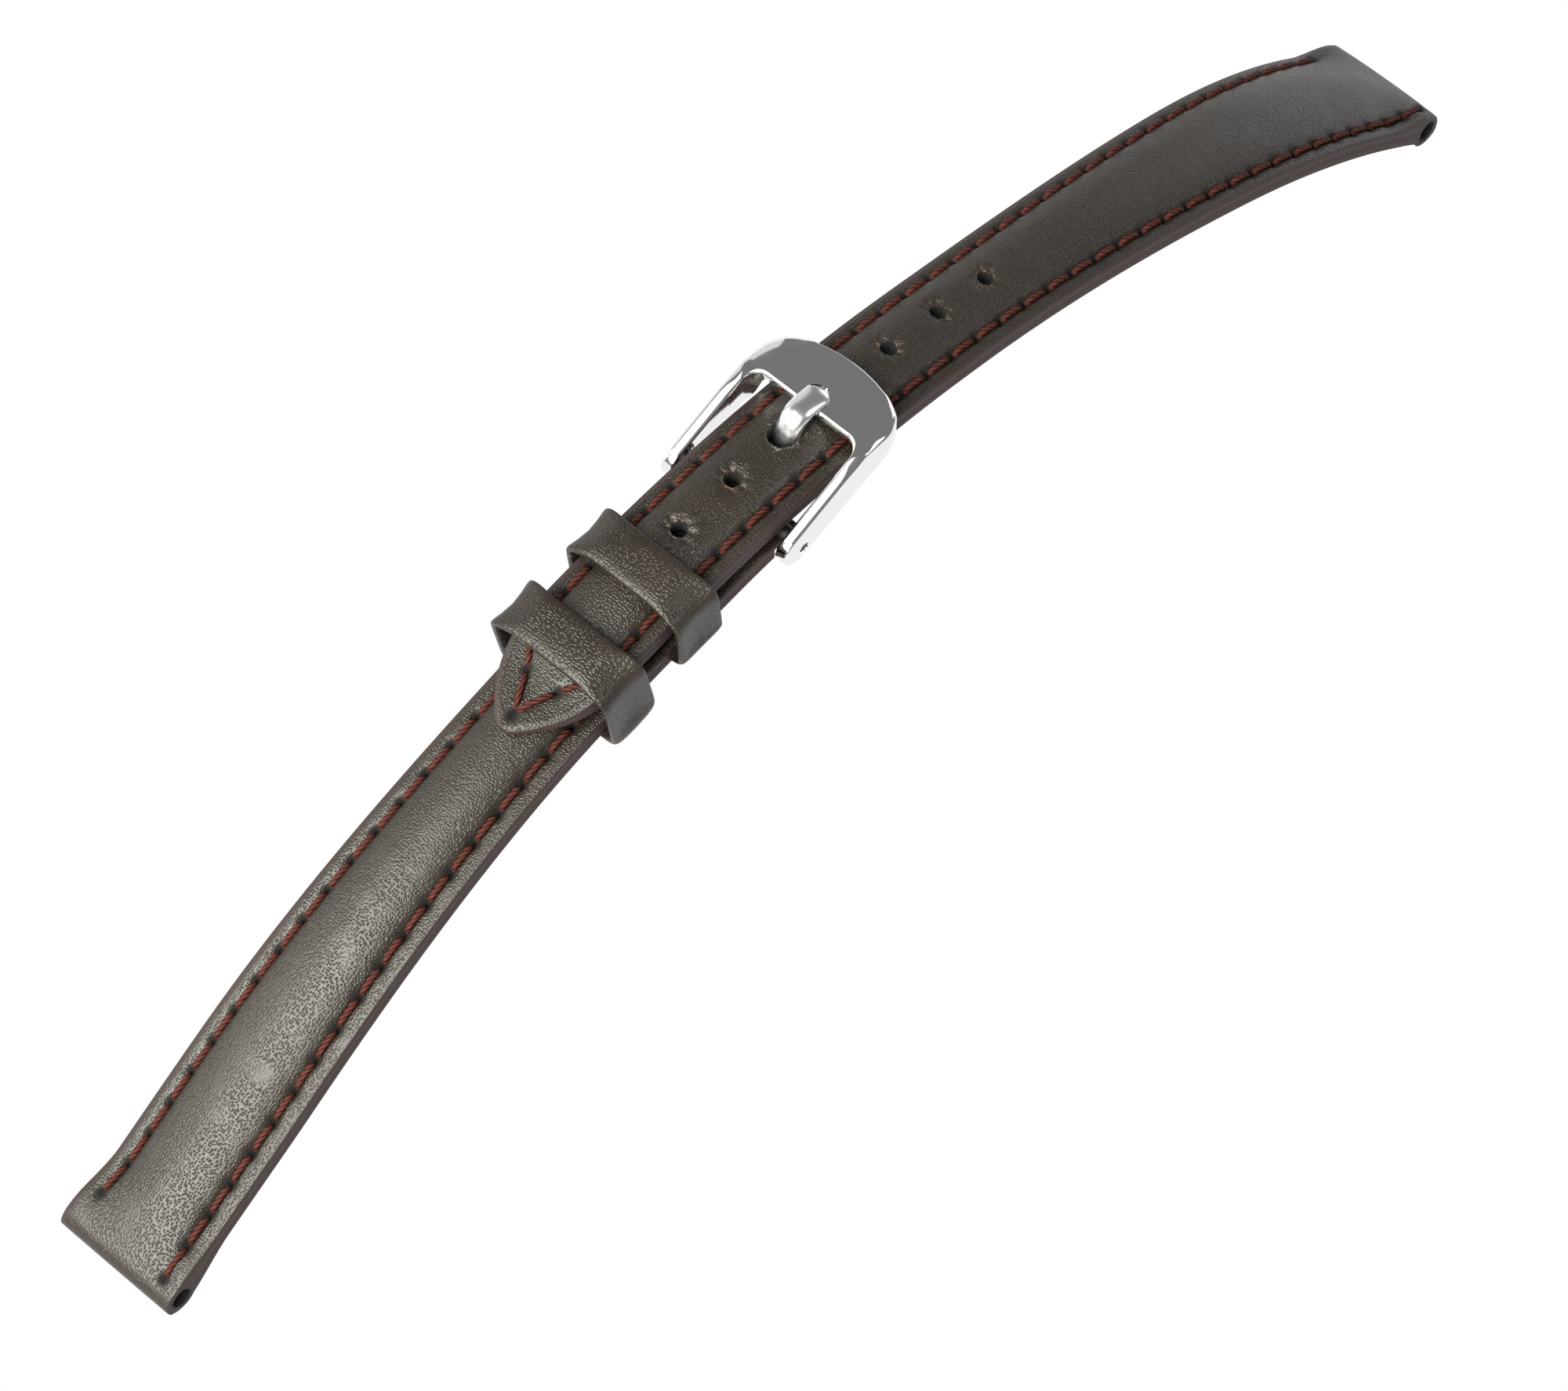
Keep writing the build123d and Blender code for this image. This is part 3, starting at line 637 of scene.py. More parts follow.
def cut(obj, cutter):
    """Takes the cutter's shape out of obj and removes the cutter."""
    modifier = obj.modifiers.new("cut", "BOOLEAN")
    modifier.operation = "DIFFERENCE"
    modifier.solver = "EXACT"
    modifier.object = cutter
    depsgraph = bpy.context.evaluated_depsgraph_get()
    mesh = bpy.data.meshes.new_from_object(obj.evaluated_get(depsgraph))
    old = obj.data
    obj.modifiers.clear()
    obj.data = mesh
    # The new walls of the cut get painted shade
    paint_shade_on_cut_walls(mesh)
    bpy.data.meshes.remove(old)
    bpy.data.objects.remove(cutter)


def paint_shade_on_cut_walls(mesh):
    """Gives painted shade to the walls that a cut leaves in leather, which have no place on its skin: they
    take the needle holes' near-black colour.
    """
    marks_and_shade, flat = mesh.attributes.get("marks_and_shade"), mesh.attributes.get("flat")
    if marks_and_shade is None or flat is None:
        return
    for mark, spot in zip(marks_and_shade.data, flat.data):
        if spot.vector.length == 0:
            mark.color = (0.0, 0.0, 1.0, 1.0)


def cylinder(start, end, radius, segments=40):
    """A closed cylinder between two points, radius in millimetres."""
    bm = bmesh.new()
    run = end - start
    turn = run.to_track_quat("Z", "Y").to_matrix().to_4x4()
    matrix = Matrix.Translation((start + end) / 2) @ turn
    bmesh.ops.create_cone(
        bm,
        cap_ends=True,
        segments=segments,
        radius1=radius * MM,
        radius2=radius * MM,
        depth=run.length,
        matrix=matrix,
    )
    return finish_mesh(bm, "cutter")


def cross_rod(s, h, radius):
    return cylinder(place(s, -LUG_WIDTH, h), place(s, LUG_WIDTH, h), radius)


def punched(number):
    """The cutter of one punched hole, square to the strap."""
    s = TONGUE_HOLE_PLACE + number * HOLE_PITCH
    below, above = place(s, 0, LONG_HEIGHT - PUNCH_REACH), place(s, 0, LONG_HEIGHT + PUNCH_REACH)
    cutter = cylinder(below, above, hole_radius(number))
    if number == 0:
        middle = place(s, 0, LONG_HEIGHT)
        for vertex in cutter.data.vertices:
            ahead = 1 if vertex.co.x > middle.x else -1
            vertex.co.x += ahead * TONGUE_HOLE_STRETCH * MM
    return cutter


def across_shares(half, inset):
    """Places across a piece from its middle to its edge, closer together at the stitch lines."""
    seam = half - inset - COLUMN_LEAD
    middle = [seam * sin(pi / 2 * number / MIDDLE_COLUMNS) for number in range(MIDDLE_COLUMNS)]
    border = half - BORDER_WIDTH
    margin = [mix(seam, border, number / MARGIN_COLUMNS) for number in range(MARGIN_COLUMNS + 1)]
    return middle + margin


def painted(side, half, y):
    """How far the edge paint has crept over the border of the upper face; only one side is smeared."""
    return PAINT_CREEP[side] * ease(y, half - PAINT_WIDTH, half)


def leather_section(half_of, inset, top, low_of):
    """Makes the function of a top leather's sections: worked upper face, crisp edges, flat underside."""
    full = BUCKLE_WIDTH / 2

    def section(s):
        half = max(half_of(s), LEAST_HALF)
        spots = across_shares(max(half, full), inset)
        if half < full:
            spots = [y * half / full for y in spots]
        low = low_of(s)
        soft = min(half, EDGE_SOFT)
        sides = []
        for side in (1, -1):
            high = top(s, side * spots[-1])
            line = [(side * y, top(s, side * y), painted(side, half, y)) for y in spots]
            for inwards, rise, paint in RIM_SHARES:
                line.append((side * (half - inwards * soft), mix(low, high, rise), paint))
            line.append((side * half * UNDERSIDE_SHARE, low, 1.0))
            sides.append(line)
        return sides[0] + [(0.0, low, 1.0)] + sides[1][:0:-1]

    return section


def roll_low(s, centre, height, radius, otherwise):
    """Underside of a rolled end: the round of the roll, or the skin's own underside past it."""
    reach = radius**2 - (s - centre) ** 2
    if reach <= 0:
        return otherwise
    return min(height - sqrt(reach), otherwise)


def short_low(s):
    low = short_base(s) - TOP_LEATHER
    low = roll_low(s, SHORT_ROLL_PLACE, SHORT_ROLL_HEIGHT, LUG_ROLL, low)
    return roll_low(s, BAR_PLACE, BAR_HEIGHT, LOOP_ROLL, low)


def rolled_top(top, s, y, centre, height, radius, outward):
    """The upper face, turned down round the roll past its middle."""
    if outward * (s - centre) <= 0:
        return top(s, y)
    reach = max(radius**2 - (s - centre) ** 2, 0.0)
    share = sqrt(reach) / radius
    return mix(height, top(centre, y), share)


def short_rolled(s, y):
    if s < SHORT_ROLL_PLACE:
        return rolled_top(short_top, s, y, SHORT_ROLL_PLACE, SHORT_ROLL_HEIGHT, LUG_ROLL, -1)
    return rolled_top(short_top, s, y, BAR_PLACE, BAR_HEIGHT, LOOP_ROLL, 1)


def make_short_leather():
    rows = round_steps(SHORT_ROLL_PLACE, LUG_ROLL, 1) + steps(SHORT_ROLL_PLACE, BAR_PLACE, ROW_STEP)
    rows += list(reversed(round_steps(BAR_PLACE, LOOP_ROLL, -1)))
    section = leather_section(short_half, SHORT_INSET, short_rolled, short_low)
    obj = tube(rows, section, "Short top leather", short_tears_and_shade)
    cut(obj, cross_rod(SHORT_ROLL_PLACE, SHORT_ROLL_HEIGHT, LUG_BORE))
    cut(obj, cross_rod(BAR_PLACE, BAR_HEIGHT, LOOP_BORE))
    cut(obj, tongue_slot())
    return obj


def tongue_slot():
    """Cutter of the slot that lets the buckle's tongue reach its bar."""
    bm = bmesh.new()
    bmesh.ops.create_cube(bm, size=1.0)
    low_s, high_s = BAR_PLACE - SLOT_REAR, BAR_PLACE + LOOP_ROLL + CUT_OVERRUN
    for vertex in bm.verts:
        s = low_s if vertex.co.x < 0 else high_s
        vertex.co = place(s, SLOT_WIDTH * vertex.co.y, SLOT_HEIGHT * vertex.co.z)
    return finish_mesh(bm, "cutter")


def long_rolled(s, y):
    return rolled_top(long_top, s, y, LONG_ROLL_PLACE, LONG_ROLL_HEIGHT, LUG_ROLL, 1)


def pared(s, offset):
    """Height of a long layer's face, given how far it lies under the margins where nothing is pared."""
    return long_base(s) + offset * (1 - TIP_SKIVE * skive(s))


def long_low(s):
    return roll_low(s, LONG_ROLL_PLACE, LONG_ROLL_HEIGHT, LUG_ROLL, pared(s, -TOP_LEATHER))


def long_steps():
    """Places along the long piece behind its tip, closer together round the punched holes."""
    holes = [TONGUE_HOLE_PLACE + number * HOLE_PITCH for number in HOLE_NUMBERS]
    s = TIP_PLACE + TIP_LENGTH
    rows = []
    while s < LONG_ROLL_PLACE - ROW_STEP / 2:
        rows.append(s)
        near = min(abs(s - hole) for hole in holes) < 3 * HOLE_RADIUS
        s += ROW_STEP / 2 if near else ROW_STEP
    return rows + [LONG_ROLL_PLACE]


def tip_steps():
    """Places along the tip, close together at the nose where the outline turns fast."""
    return [TIP_PLACE + TIP_LENGTH * (number / TIP_ROWS) ** 2 for number in range(TIP_ROWS)]


def make_long_leather():
    rows = tip_steps() + long_steps()
    rows += list(reversed(round_steps(LONG_ROLL_PLACE, LUG_ROLL, -1)))
    section = leather_section(long_half, LONG_INSET, long_rolled, long_low)
    obj = tube(rows, section, "Long top leather", long_tears_and_shade)
    cut(obj, cross_rod(LONG_ROLL_PLACE, LONG_ROLL_HEIGHT, LUG_BORE))
    for number in HOLE_NUMBERS:
        cut(obj, punched(number))
    return obj


def flat_layer(name, rows, half_of, low_of, high_of):
    """A flat layer under the top leather, with softly rounded and painted edges."""

    def section(s):
        half = max(half_of(s) - LAYER_INSET, LEAST_HALF)
        low, high = low_of(s), high_of(s)
        soft = min(LAYER_SOFT, half / 2)
        side = [
            (half / 2, high, 1.0),
            (half - soft, high, 1.0),
            (half, mix(low, high, 1 - LAYER_ROUND_SHARE), 1.0),
            (half, mix(low, high, LAYER_ROUND_SHARE), 1.0),
            (half - soft, low, 1.0),
            (half - 3 * soft, low, 0.0),
            (half / 2, low, 0.0),
        ]
        return side + [(-y, h, paint) for y, h, paint in reversed(side)]

    return tube(rows, section, name)


def short_face(offset):
    return lambda s: short_base(s) + offset


def long_face(offset):
    return lambda s: pared(s, offset)


def make_layers():
    """Tape and lining of both pieces, by piece and kind."""
    inside_roll = sqrt(LUG_ROLL**2 - (SHORT_ROLL_HEIGHT - LINING_LOW) ** 2)
    short_rows = steps(SHORT_ROLL_PLACE + inside_roll, BAR_PLACE - LOOP_ROLL - GLUE_LINE, LAYER_STEP)
    long_rows = tip_steps() + steps(TIP_PLACE + TIP_LENGTH, LONG_ROLL_PLACE - inside_roll, LAYER_STEP)
    layers = {}
    for kind, low, high in (("tape", TAPE_LOW, TAPE_HIGH), ("lining", LINING_LOW, LINING_HIGH)):
        short = flat_layer("Short " + kind, short_rows, short_half, short_face(low), short_face(high))
        long = flat_layer("Long " + kind, long_rows, long_half, long_face(low), long_face(high))
        cut(short, tongue_slot())
        cut(short, cross_rod(SHORT_ROLL_PLACE, SHORT_ROLL_HEIGHT, LUG_BORE))
        cut(long, cross_rod(LONG_ROLL_PLACE, LONG_ROLL_HEIGHT, LUG_BORE))
        for number in HOLE_NUMBERS:
            cut(long, punched(number))
        layers["short", kind] = short
        layers["long", kind] = long
    return layers


def add_stitch(bm, start, end, up, radius, arch):
    """One run of thread that rises out of one needle hole and dives into the next."""
    layers = bm.verts.layers.float_vector
    strand = layers.get("strand") or layers.new("strand")
    grid = bmesh.ops.create_grid(bm, x_segments=STITCH_PARTS, y_segments=STITCH_SIDES, size=0.5)
    run = (end - start).normalized()
    beside = run.cross(up).normalized()
    for vertex in grid["verts"]:
        share = vertex.co.x + 0.5
        angle = 2 * pi * round((vertex.co.y + 0.5) * STITCH_SIDES) / STITCH_SIDES
        vertex[strand] = (cos(angle), sin(angle), share)
        fullness = min(1.0, STITCH_END_SHARE + 3 * min(share, 1 - share))
        reach = radius * fullness * MM
        risen = min(sin(pi * share) / STITCH_FLAT_SHARE, 1.0)
        centre = start.lerp(end, share) + up * mix(-STITCH_SINK, arch, risen) * MM
        vertex.co = centre + (beside * cos(angle) + up * sin(angle)) * reach


def stitch_run(bm, start, end, lift, arch):
    """A stitch between two needle holes on the upper face, or on the lining when arch is downward."""
    margin = (1 - STITCH_LENGTH / STITCH_PITCH) / 2
    spots = []
    for share in (margin, 1 - margin):
        s, y = mix(start[0], end[0], share), mix(start[1], end[1], share)
        spots.append(place(s, y, lift(s, y)))
    up = (place(start[0], 0, 1) - place(start[0], 0, 0)).normalized() * copysign(1, arch)
    add_stitch(bm, *spots, up, THREAD_RADIUS, abs(arch))


def close_thread(bm, name):
    close_ends(bm, FINE_MERGE)
    return finish_mesh(bm, name, sharp=180.0)


def make_thread(name, seams, lift, arch):
    """All the runs of one thread along both stitch lines, and round the tip's V if it has one."""
    needles, half_of, inset, vee = seams
    bm = bmesh.new()
    lines = [vee]
    for side, spots in needles.items():
        lines.append([(s, side * (half_of(s) - inset)) for s in spots])
    for line in lines:
        for start, end in zip(line, line[1:]):
            stitch_run(bm, start, end, lift, arch)
    return close_thread(bm, name)


def short_margin(s, y):
    return short_base(s) + SHORT_CROWN * short_lug(s) * LUG_RISE_SHARE


def long_margin(s, y):
    """Where the long piece's upper thread lies: on its margins, or on the low crown of its tip."""
    over_tip = TIP_CROWN * skive(s) * (1 - (2 * y / BUCKLE_WIDTH) ** 2)
    return long_base(s) + over_tip + LONG_CROWN * long_lug(s) * LUG_RISE_SHARE


def short_underside(s, y):
    return short_base(s) + LINING_LOW + LOWER_SINK


def long_underside(s, y):
    return pared(s, LINING_LOW) + LOWER_SINK


def rounded(value, power):
    """Keeps the sign and draws the size towards 1, which squares off a circle."""
    return copysign(abs(value) ** power, value)


def evenly(points, count, closed):
    """The same line through evenly spaced points."""
    ring = points + points[:1] if closed else points
    lengths = [hypot(b[0] - a[0], b[1] - a[1]) for a, b in zip(ring, ring[1:])]
    parts = count if closed else count - 1
    spots, reached, index = [], 0.0, 0
    for number in range(count):
        target = sum(lengths) * number / parts
        while index < len(lengths) - 1 and reached + lengths[index] < target:
            reached += lengths[index]
            index += 1
        share = min((target - reached) / lengths[index], 1.0)
        (x0, y0), (x1, y1) = ring[index], ring[index + 1]
        spots.append((mix(x0, x1, share), mix(y0, y1, share)))
    return spots


def keeper_path(half, low, crown):
    """Middle line of a keeper's wall: broad round shoulders above and squarer corners below."""
    middle = crown - KEEPER_SHOULDER
    parts = KEEPER_POINTS * 4
    line = []
    for number in range(parts):
        angle = 2 * pi * number / parts
        if sin(angle) > 0:
            rise = KEEPER_SHOULDER
            out_power, up_power = KEEPER_SHOULDER_POWERS
        else:
            rise = middle - low
            out_power = up_power = KEEPER_CORNER_POWER
        line.append((half * rounded(cos(angle), out_power), middle + rise * rounded(sin(angle), up_power)))
    return evenly(line, KEEPER_POINTS, True)


def make_keeper(name, centre, half, low, crown, low_wall):
    """A folded leather band round the strap: full rims, a hollow between them and flared shoulders."""
    middle = KEEPER_WALL / 2
    points = keeper_path(half + middle, low - low_wall / 2, crown + middle)
    rows, columns = len(points), KEEPER_COLUMNS
    bm = bmesh.new()
    flat = bm.verts.layers.float_vector.new("flat")
    bmesh.ops.create_grid(bm, x_segments=rows, y_segments=columns, size=0.5)
    for vertex in bm.verts:
        row = round((vertex.co.x + 0.5) * rows) % rows
        angle = 2 * pi * round((vertex.co.y + 0.5) * columns) / columns
        across = rounded(cos(angle), KEEPER_RIM_POWERS[0])
        out = rounded(sin(angle), KEEPER_RIM_POWERS[1])
        vertex[flat] = (across * KEEPER_WIDTH / 2, KEEPER_PORE_STEP * row, out)
        y, h = points[row]
        before, after = points[row - 1], points[(row + 1) % rows]
        tangent = Vector((after[0] - before[0], after[1] - before[1])).normalized()
        wall = mix(low_wall, KEEPER_WALL, ease(h, low, low + KEEPER_WALL))
        side = ease(abs(y), half * KEEPER_SIDE_SHARE, half) * ease(h, low, low + KEEPER_SIDE_RISE)
        hollow = (KEEPER_SIDE_HOLLOW * side - KEEPER_BULGE) * (1 - across**2)
        if out <= 0:
            hollow *= KEEPER_INNER_SHARE
        reach = out * wall / 2 - hollow * min(abs(out) * 2, 1.0)
        flare = 1 - KEEPER_FLARE_SHARE * (1 - side) * ease(h, crown - KEEPER_FLARE_DEPTH, crown)
        s = centre + across * KEEPER_WIDTH / 2 * flare
        y_out = y + tangent.y * reach
        if y_out < 0:
            y_out *= KEEPER_RIGHT_REACH / (half + KEEPER_WALL)
        vertex.co = keeper_place(centre, s, y_out, h - tangent.x * reach)
    bmesh.ops.remove_doubles(bm, verts=bm.verts, dist=MERGE)
    return finish_mesh(bm, name)


def keeper_place(centre, s, y, h):
    """A point of a keeper, which is straight along the strap at its own middle."""
    foot = place(centre, y, h)
    ahead = (place(centre + NUDGE, y, 0) - place(centre - NUDGE, y, 0)).normalized()
    return foot + ahead * (s - centre) * MM


def make_closing_stitches(h):
    """The two stitches that close the free keeper's ring underneath."""
    bm = bmesh.new()
    for s in (FREE_PLACE - CLOSING_STITCH_PLACE, FREE_PLACE + CLOSING_STITCH_PLACE):
        down = (place(s, 0, h - 1) - place(s, 0, h)).normalized()
        right, left = place(s, -CLOSING_STITCH_HALF, h), place(s, CLOSING_STITCH_HALF, h)
        add_stitch(bm, right, left, down, CLOSING_STITCH_RADIUS, CLOSING_STITCH_ARCH)
    return close_thread(bm, "Free keeper thread")


def axis_frame():
    """Origin at the spring bar's middle, with the strap's forward and upward directions there."""
    origin = place(BAR_PLACE, 0, BAR_HEIGHT)
    ahead = (place(BAR_PLACE + NUDGE, 0, 0) - place(BAR_PLACE - NUDGE, 0, 0)).normalized()
    upward = (place(BAR_PLACE, 0, 1) - place(BAR_PLACE, 0, 0)).normalized()
    return origin, ahead, upward


AXIS_ORIGIN, AXIS_AHEAD, AXIS_UP = axis_frame()


def by_axis(x, y, z):
    """Point at x ahead of the spring bar, y to the left and z above it."""
    return AXIS_ORIGIN + AXIS_AHEAD * x * MM + AXIS_UP * z * MM + Vector((0, y * MM, 0))


def from_axis(s, h):
    """How far ahead of the spring bar and above it a place on the strap is."""
    offset = (place(s, 0, h) - AXIS_ORIGIN) / MM
    return offset.dot(AXIS_AHEAD), offset.dot(AXIS_UP)


REAR_X, REAR_Z = from_axis(BAR_PLACE + BAR_REAR, BAR_TOP)
FRONT_X, FRONT_Z = from_axis(BAR_PLACE + BAR_REAR + BAR_DEPTH, BAR_TOP)
BAR_FALL = (FRONT_Z - REAR_Z) / (FRONT_X - REAR_X)


def ear_line(end_x, end_z, side):
    """Line from the end point that touches the ear's round above (side 1) or below it (side -1)."""
    dx, dz = end_x + EAR_BACK, end_z - EAR_RISE
    distance = hypot(dx, dz)
    turn = atan2(dz, dx) + side * atan2(sqrt(distance**2 - EAR_RADIUS**2), EAR_RADIUS)
    touch_x = -EAR_BACK + EAR_RADIUS * cos(turn)
    touch_z = EAR_RISE + EAR_RADIUS * sin(turn)
    return touch_x, touch_z, (end_z - touch_z) / (end_x - touch_x)


ABOVE = ear_line(REAR_X, REAR_Z, 1)
BELOW = ear_line(FRONT_X, FRONT_Z - BAR_THICKNESS, -1)


def ear_round(x, side):
    return EAR_RISE + side * sqrt(max(EAR_RADIUS**2 - (x + EAR_BACK) ** 2, 0.0))


def frame_top(x):
    if x > REAR_X:
        return REAR_Z + (x - REAR_X) * BAR_FALL
    touch_x, touch_z, slope = ABOVE
    if x < touch_x:
        return ear_round(x, 1)
    return touch_z + (x - touch_x) * slope


def frame_bottom(x, y):
    """Underside: deep along the arms, and as thin as the bar is between them."""
    touch_x, touch_z, slope = BELOW
    arm = ear_round(x, -1) if x < touch_x else touch_z + (x - touch_x) * slope
    if x <= REAR_X - BAR_LEAD:
        return arm
    bar = REAR_Z + (x - REAR_X) * BAR_FALL - BAR_THICKNESS
    towards_arm = ease(abs(y), FRAME_HALF - BAR_BLEND[0], FRAME_HALF - BAR_BLEND[1])
    return mix(bar, min(arm, bar), towards_arm)


def arc(centre_x, centre_y, radius, start, end, count=16):
    angles = [radians(mix(start, end, number / count)) for number in range(count + 1)]
    return [(centre_x + radius * cos(a), centre_y + radius * sin(a)) for a in angles]


def frame_outlines():
    """Matching points inside and outside half the frame, seen from above, from its ear to its middle."""
    outer_half = FRAME_HALF + ARM
    bend = REAR_X - INNER_CORNER - CORNER_LEAD
    tail = -EAR_BACK - EAR_RADIUS + EAR_END_LEAD
    ears = [-EAR_BACK - EAR_RADIUS * cos(pi / 2 * number / EAR_PARTS) for number in range(1, EAR_PARTS)]
    arms = [tail] + ears + steps(-EAR_BACK, bend, ARM_STEP)
    inner_turn = arc(REAR_X - INNER_CORNER, FRAME_HALF - INNER_CORNER, INNER_CORNER, 90, 0)
    inner_line = [(bend, FRAME_HALF)] + inner_turn + [(REAR_X, BAR_MIDDLE_HALF)]
    inner = evenly(inner_line, CORNER_POINTS, False)
    front = FRONT_X - BAR_BOW
    outer_turn = arc(front - OUTER_CORNER, outer_half - OUTER_CORNER, OUTER_CORNER, 90, BOW_START_ANGLE)
    outer = evenly([(bend, outer_half)] + outer_turn, CORNER_POINTS, False)
    pairs = [((x, FRAME_HALF), (x, outer_half)) for x in arms[:-1]]
    pairs += list(zip(inner, outer))
    last_x, last_y = outer[-1]
    for number in range(1, BAR_POINTS + 1):
        left = 1 - number / BAR_POINTS
        bow = last_x + (FRONT_X - last_x) * (1 - left**2)
        pairs.append(((REAR_X, BAR_MIDDLE_HALF * left), (bow, last_y * left)))
    return pairs


def rounded_corner(corner, before, after, back, ahead, count=4):
    """Points of an arc that rounds a section's corner, as far back and ahead as asked."""
    to_before = (before - corner).normalized() * back
    to_after = (after - corner).normalized() * ahead
    points = []
    for number in range(count + 1):
        turn = pi / 2 * number / count
        points.append(corner + to_before * (1 - sin(turn)) + to_after * (1 - cos(turn)))
    return points


def frame_section(inner, outer):
    """Rounded section of the frame between two plan points: a soft inner rim and a finer outer one."""
    corners = [by_axis(x, y, frame_top(x)) for x, y in (inner, outer)]
    corners += [by_axis(x, y, frame_bottom(x, y)) for x, y in (outer, inner)]
    tall = min((corners[0] - corners[3]).length, (corners[1] - corners[2]).length)
    wide = (corners[0] - corners[1]).length
    on_bar = ease(inner[0], REAR_X - INNER_CORNER, REAR_X)
    sideways = ease(outer[1], *(FRAME_HALF + reach for reach in CORNER_RIM_SIDEWAYS))
    at_corner = sideways * ease(outer[0], *(REAR_X + reach for reach in CORNER_RIM_ALONG))
    inner_rim = mix(ARM_RIM, BAR_INNER_RIM, on_bar)
    outer_rim = mix(mix(ARM_RIM, BAR_OUTER_RIM, on_bar), CORNER_RIM, at_corner)
    limit = RIM_LIMIT_SHARES[0] * min(tall, wide)
    rims = [min(rim * MM, limit) for rim in (inner_rim, outer_rim, LOW_OUTER_RIM, LOW_INNER_RIM)]
    slant = min(mix(outer_rim, CORNER_RIM_WIDTH, at_corner) * MM, RIM_LIMIT_SHARES[1] * wide)
    backs = [rims[0], slant, rims[2], rims[3]]
    points = []
    for index, corner in enumerate(corners):
        before, after = corners[index - 1], corners[(index + 1) % 4]
        points += rounded_corner(corner, before, after, backs[index], rims[index])
    return points


def skin(sections, name, sharp=40.0):
    """Closed skin through sections given as loops of points."""
    rows, columns = len(sections), len(sections[0])
    bm = bmesh.new()
    bmesh.ops.create_grid(bm, x_segments=rows - 1, y_segments=columns, size=0.5)
    for vertex in bm.verts:
        row = round((vertex.co.x + 0.5) * (rows - 1))
        column = round((vertex.co.y + 0.5) * columns) % columns
        vertex.co = sections[row][column]
    close_ends(bm, FINE_MERGE)
    return finish_mesh(bm, name, sharp)


def notch_cutter():
    """Rounded trough in the bar's top, in which the tongue's tip lies."""
    radius = NOTCH_WIDTH / 2
    x, z = from_axis(BAR_PLACE + BAR_REAR + NOTCH_LENGTH - radius, BAR_TOP - NOTCH_DEPTH)
    bm = bmesh.new()
    bmesh.ops.create_grid(bm, x_segments=1, y_segments=NOTCH_POINTS, size=0.5)
    for vertex in bm.verts:
        step = round((vertex.co.y + 0.5) * NOTCH_POINTS)
        turn = pi * (step - 1) / (NOTCH_POINTS - 2)
        ahead, left = radius * sin(turn), radius * cos(turn)
        if step in (0, NOTCH_POINTS):
            ahead, left = -2 * NOTCH_LENGTH, copysign(radius, NOTCH_POINTS / 2 - step)
        rise = 0.0 if vertex.co.x < 0 else NOTCH_CLEARANCE
        vertex.co = by_axis(x + ahead, left, z + ahead * BAR_FALL + rise)
    walls = list(bm.edges)
    for side in (-1, 1):
        rim = [edge for edge in walls if edge.is_boundary and edge_level(edge, side, z)]
        bmesh.ops.contextual_create(bm, geom=rim)
    rest = [edge for edge in bm.edges if edge.is_boundary]
    bmesh.ops.holes_fill(bm, edges=rest, sides=0)
    return finish_mesh(bm, "cutter")


def edge_level(edge, side, z):
    """Whether an edge of the trough lies level, and on its upper (side 1) or its lower rim (side -1)."""
    middle = (edge.verts[0].co + edge.verts[1].co) / 2
    height = (middle - AXIS_ORIGIN).dot(AXIS_UP) / MM
    upright = abs((edge.verts[0].co - edge.verts[1].co).dot(AXIS_UP)) > NOTCH_CLEARANCE / 2 * MM
    return not upright and (height - z - NOTCH_CLEARANCE / 2) * side > 0


def make_frame():
    """Buckle frame: ears and arms that sweep round into the front bar."""
    pairs = frame_outlines()
    left = [frame_section(inner, outer) for inner, outer in pairs]
    right = []
    for inner, outer in reversed(pairs[:-1]):
        right.append([Vector((p.x, -p.y, p.z)) for p in frame_section(inner, outer)])
    obj = skin(left + right, "Buckle frame")
    left_end, right_end = by_axis(0, 2 * FRAME_HALF, 0), by_axis(0, -2 * FRAME_HALF, 0)
    cut(obj, cylinder(right_end, left_end, EAR_HOLE, segments=24))
    cut(obj, notch_cutter())
    bevel = obj.modifiers.new("edges", "BEVEL")
    bevel.width = EDGE_BEVEL * MM
    bevel.segments = 2
    bevel.limit_method = "ANGLE"
    bevel.angle_limit = radians(EDGE_ANGLE)
    weighted = obj.modifiers.new("shading", "WEIGHTED_NORMAL")
    weighted.keep_sharp = True
    return obj


def tongue_line():
    """Middle line of the tongue: round the spring bar, forward, up through the hole and over the bar."""
    middle = TONGUE_CLEARANCE + TONGUE_THICKNESS / 2
    over_x, over_z = from_axis(BAR_PLACE + BAR_REAR, BAR_TOP - NOTCH_DEPTH + middle)
    tip_x, tip_z = from_axis(BAR_PLACE + TONGUE_TIP, BAR_TOP - NOTCH_DEPTH + middle)
    slope = (tip_z - over_z) / (tip_x - over_x)
    climb = tan(radians(TONGUE_SLOPE))
    bend_x = (over_z - slope * over_x - TONGUE_RUN_HEIGHT + climb * TONGUE_FOOT) / (climb - slope)
    bend_z = TONGUE_RUN_HEIGHT + climb * (bend_x - TONGUE_FOOT)
    eye = arc(0, 0, EYE_RADIUS, *EYE_ANGLES, EYE_POINTS)
    run = [(0.0, EYE_RADIUS), TONGUE_NECK, (TONGUE_FOOT, TONGUE_RUN_HEIGHT)]
    line = evenly(run + [(bend_x, bend_z), (tip_x, tip_z)], TONGUE_POINTS, False)
    for repeat in range(TONGUE_SMOOTHING):
        inside = []
        for a, b, c in zip(line, line[1:], line[2:]):
            inside.append(((a[0] + 2 * b[0] + c[0]) / 4, (a[1] + 2 * b[1] + c[1]) / 4))
        line = line[:1] + inside + line[-1:]
    return evenly(eye[:-1] + line, TONGUE_POINTS, False)


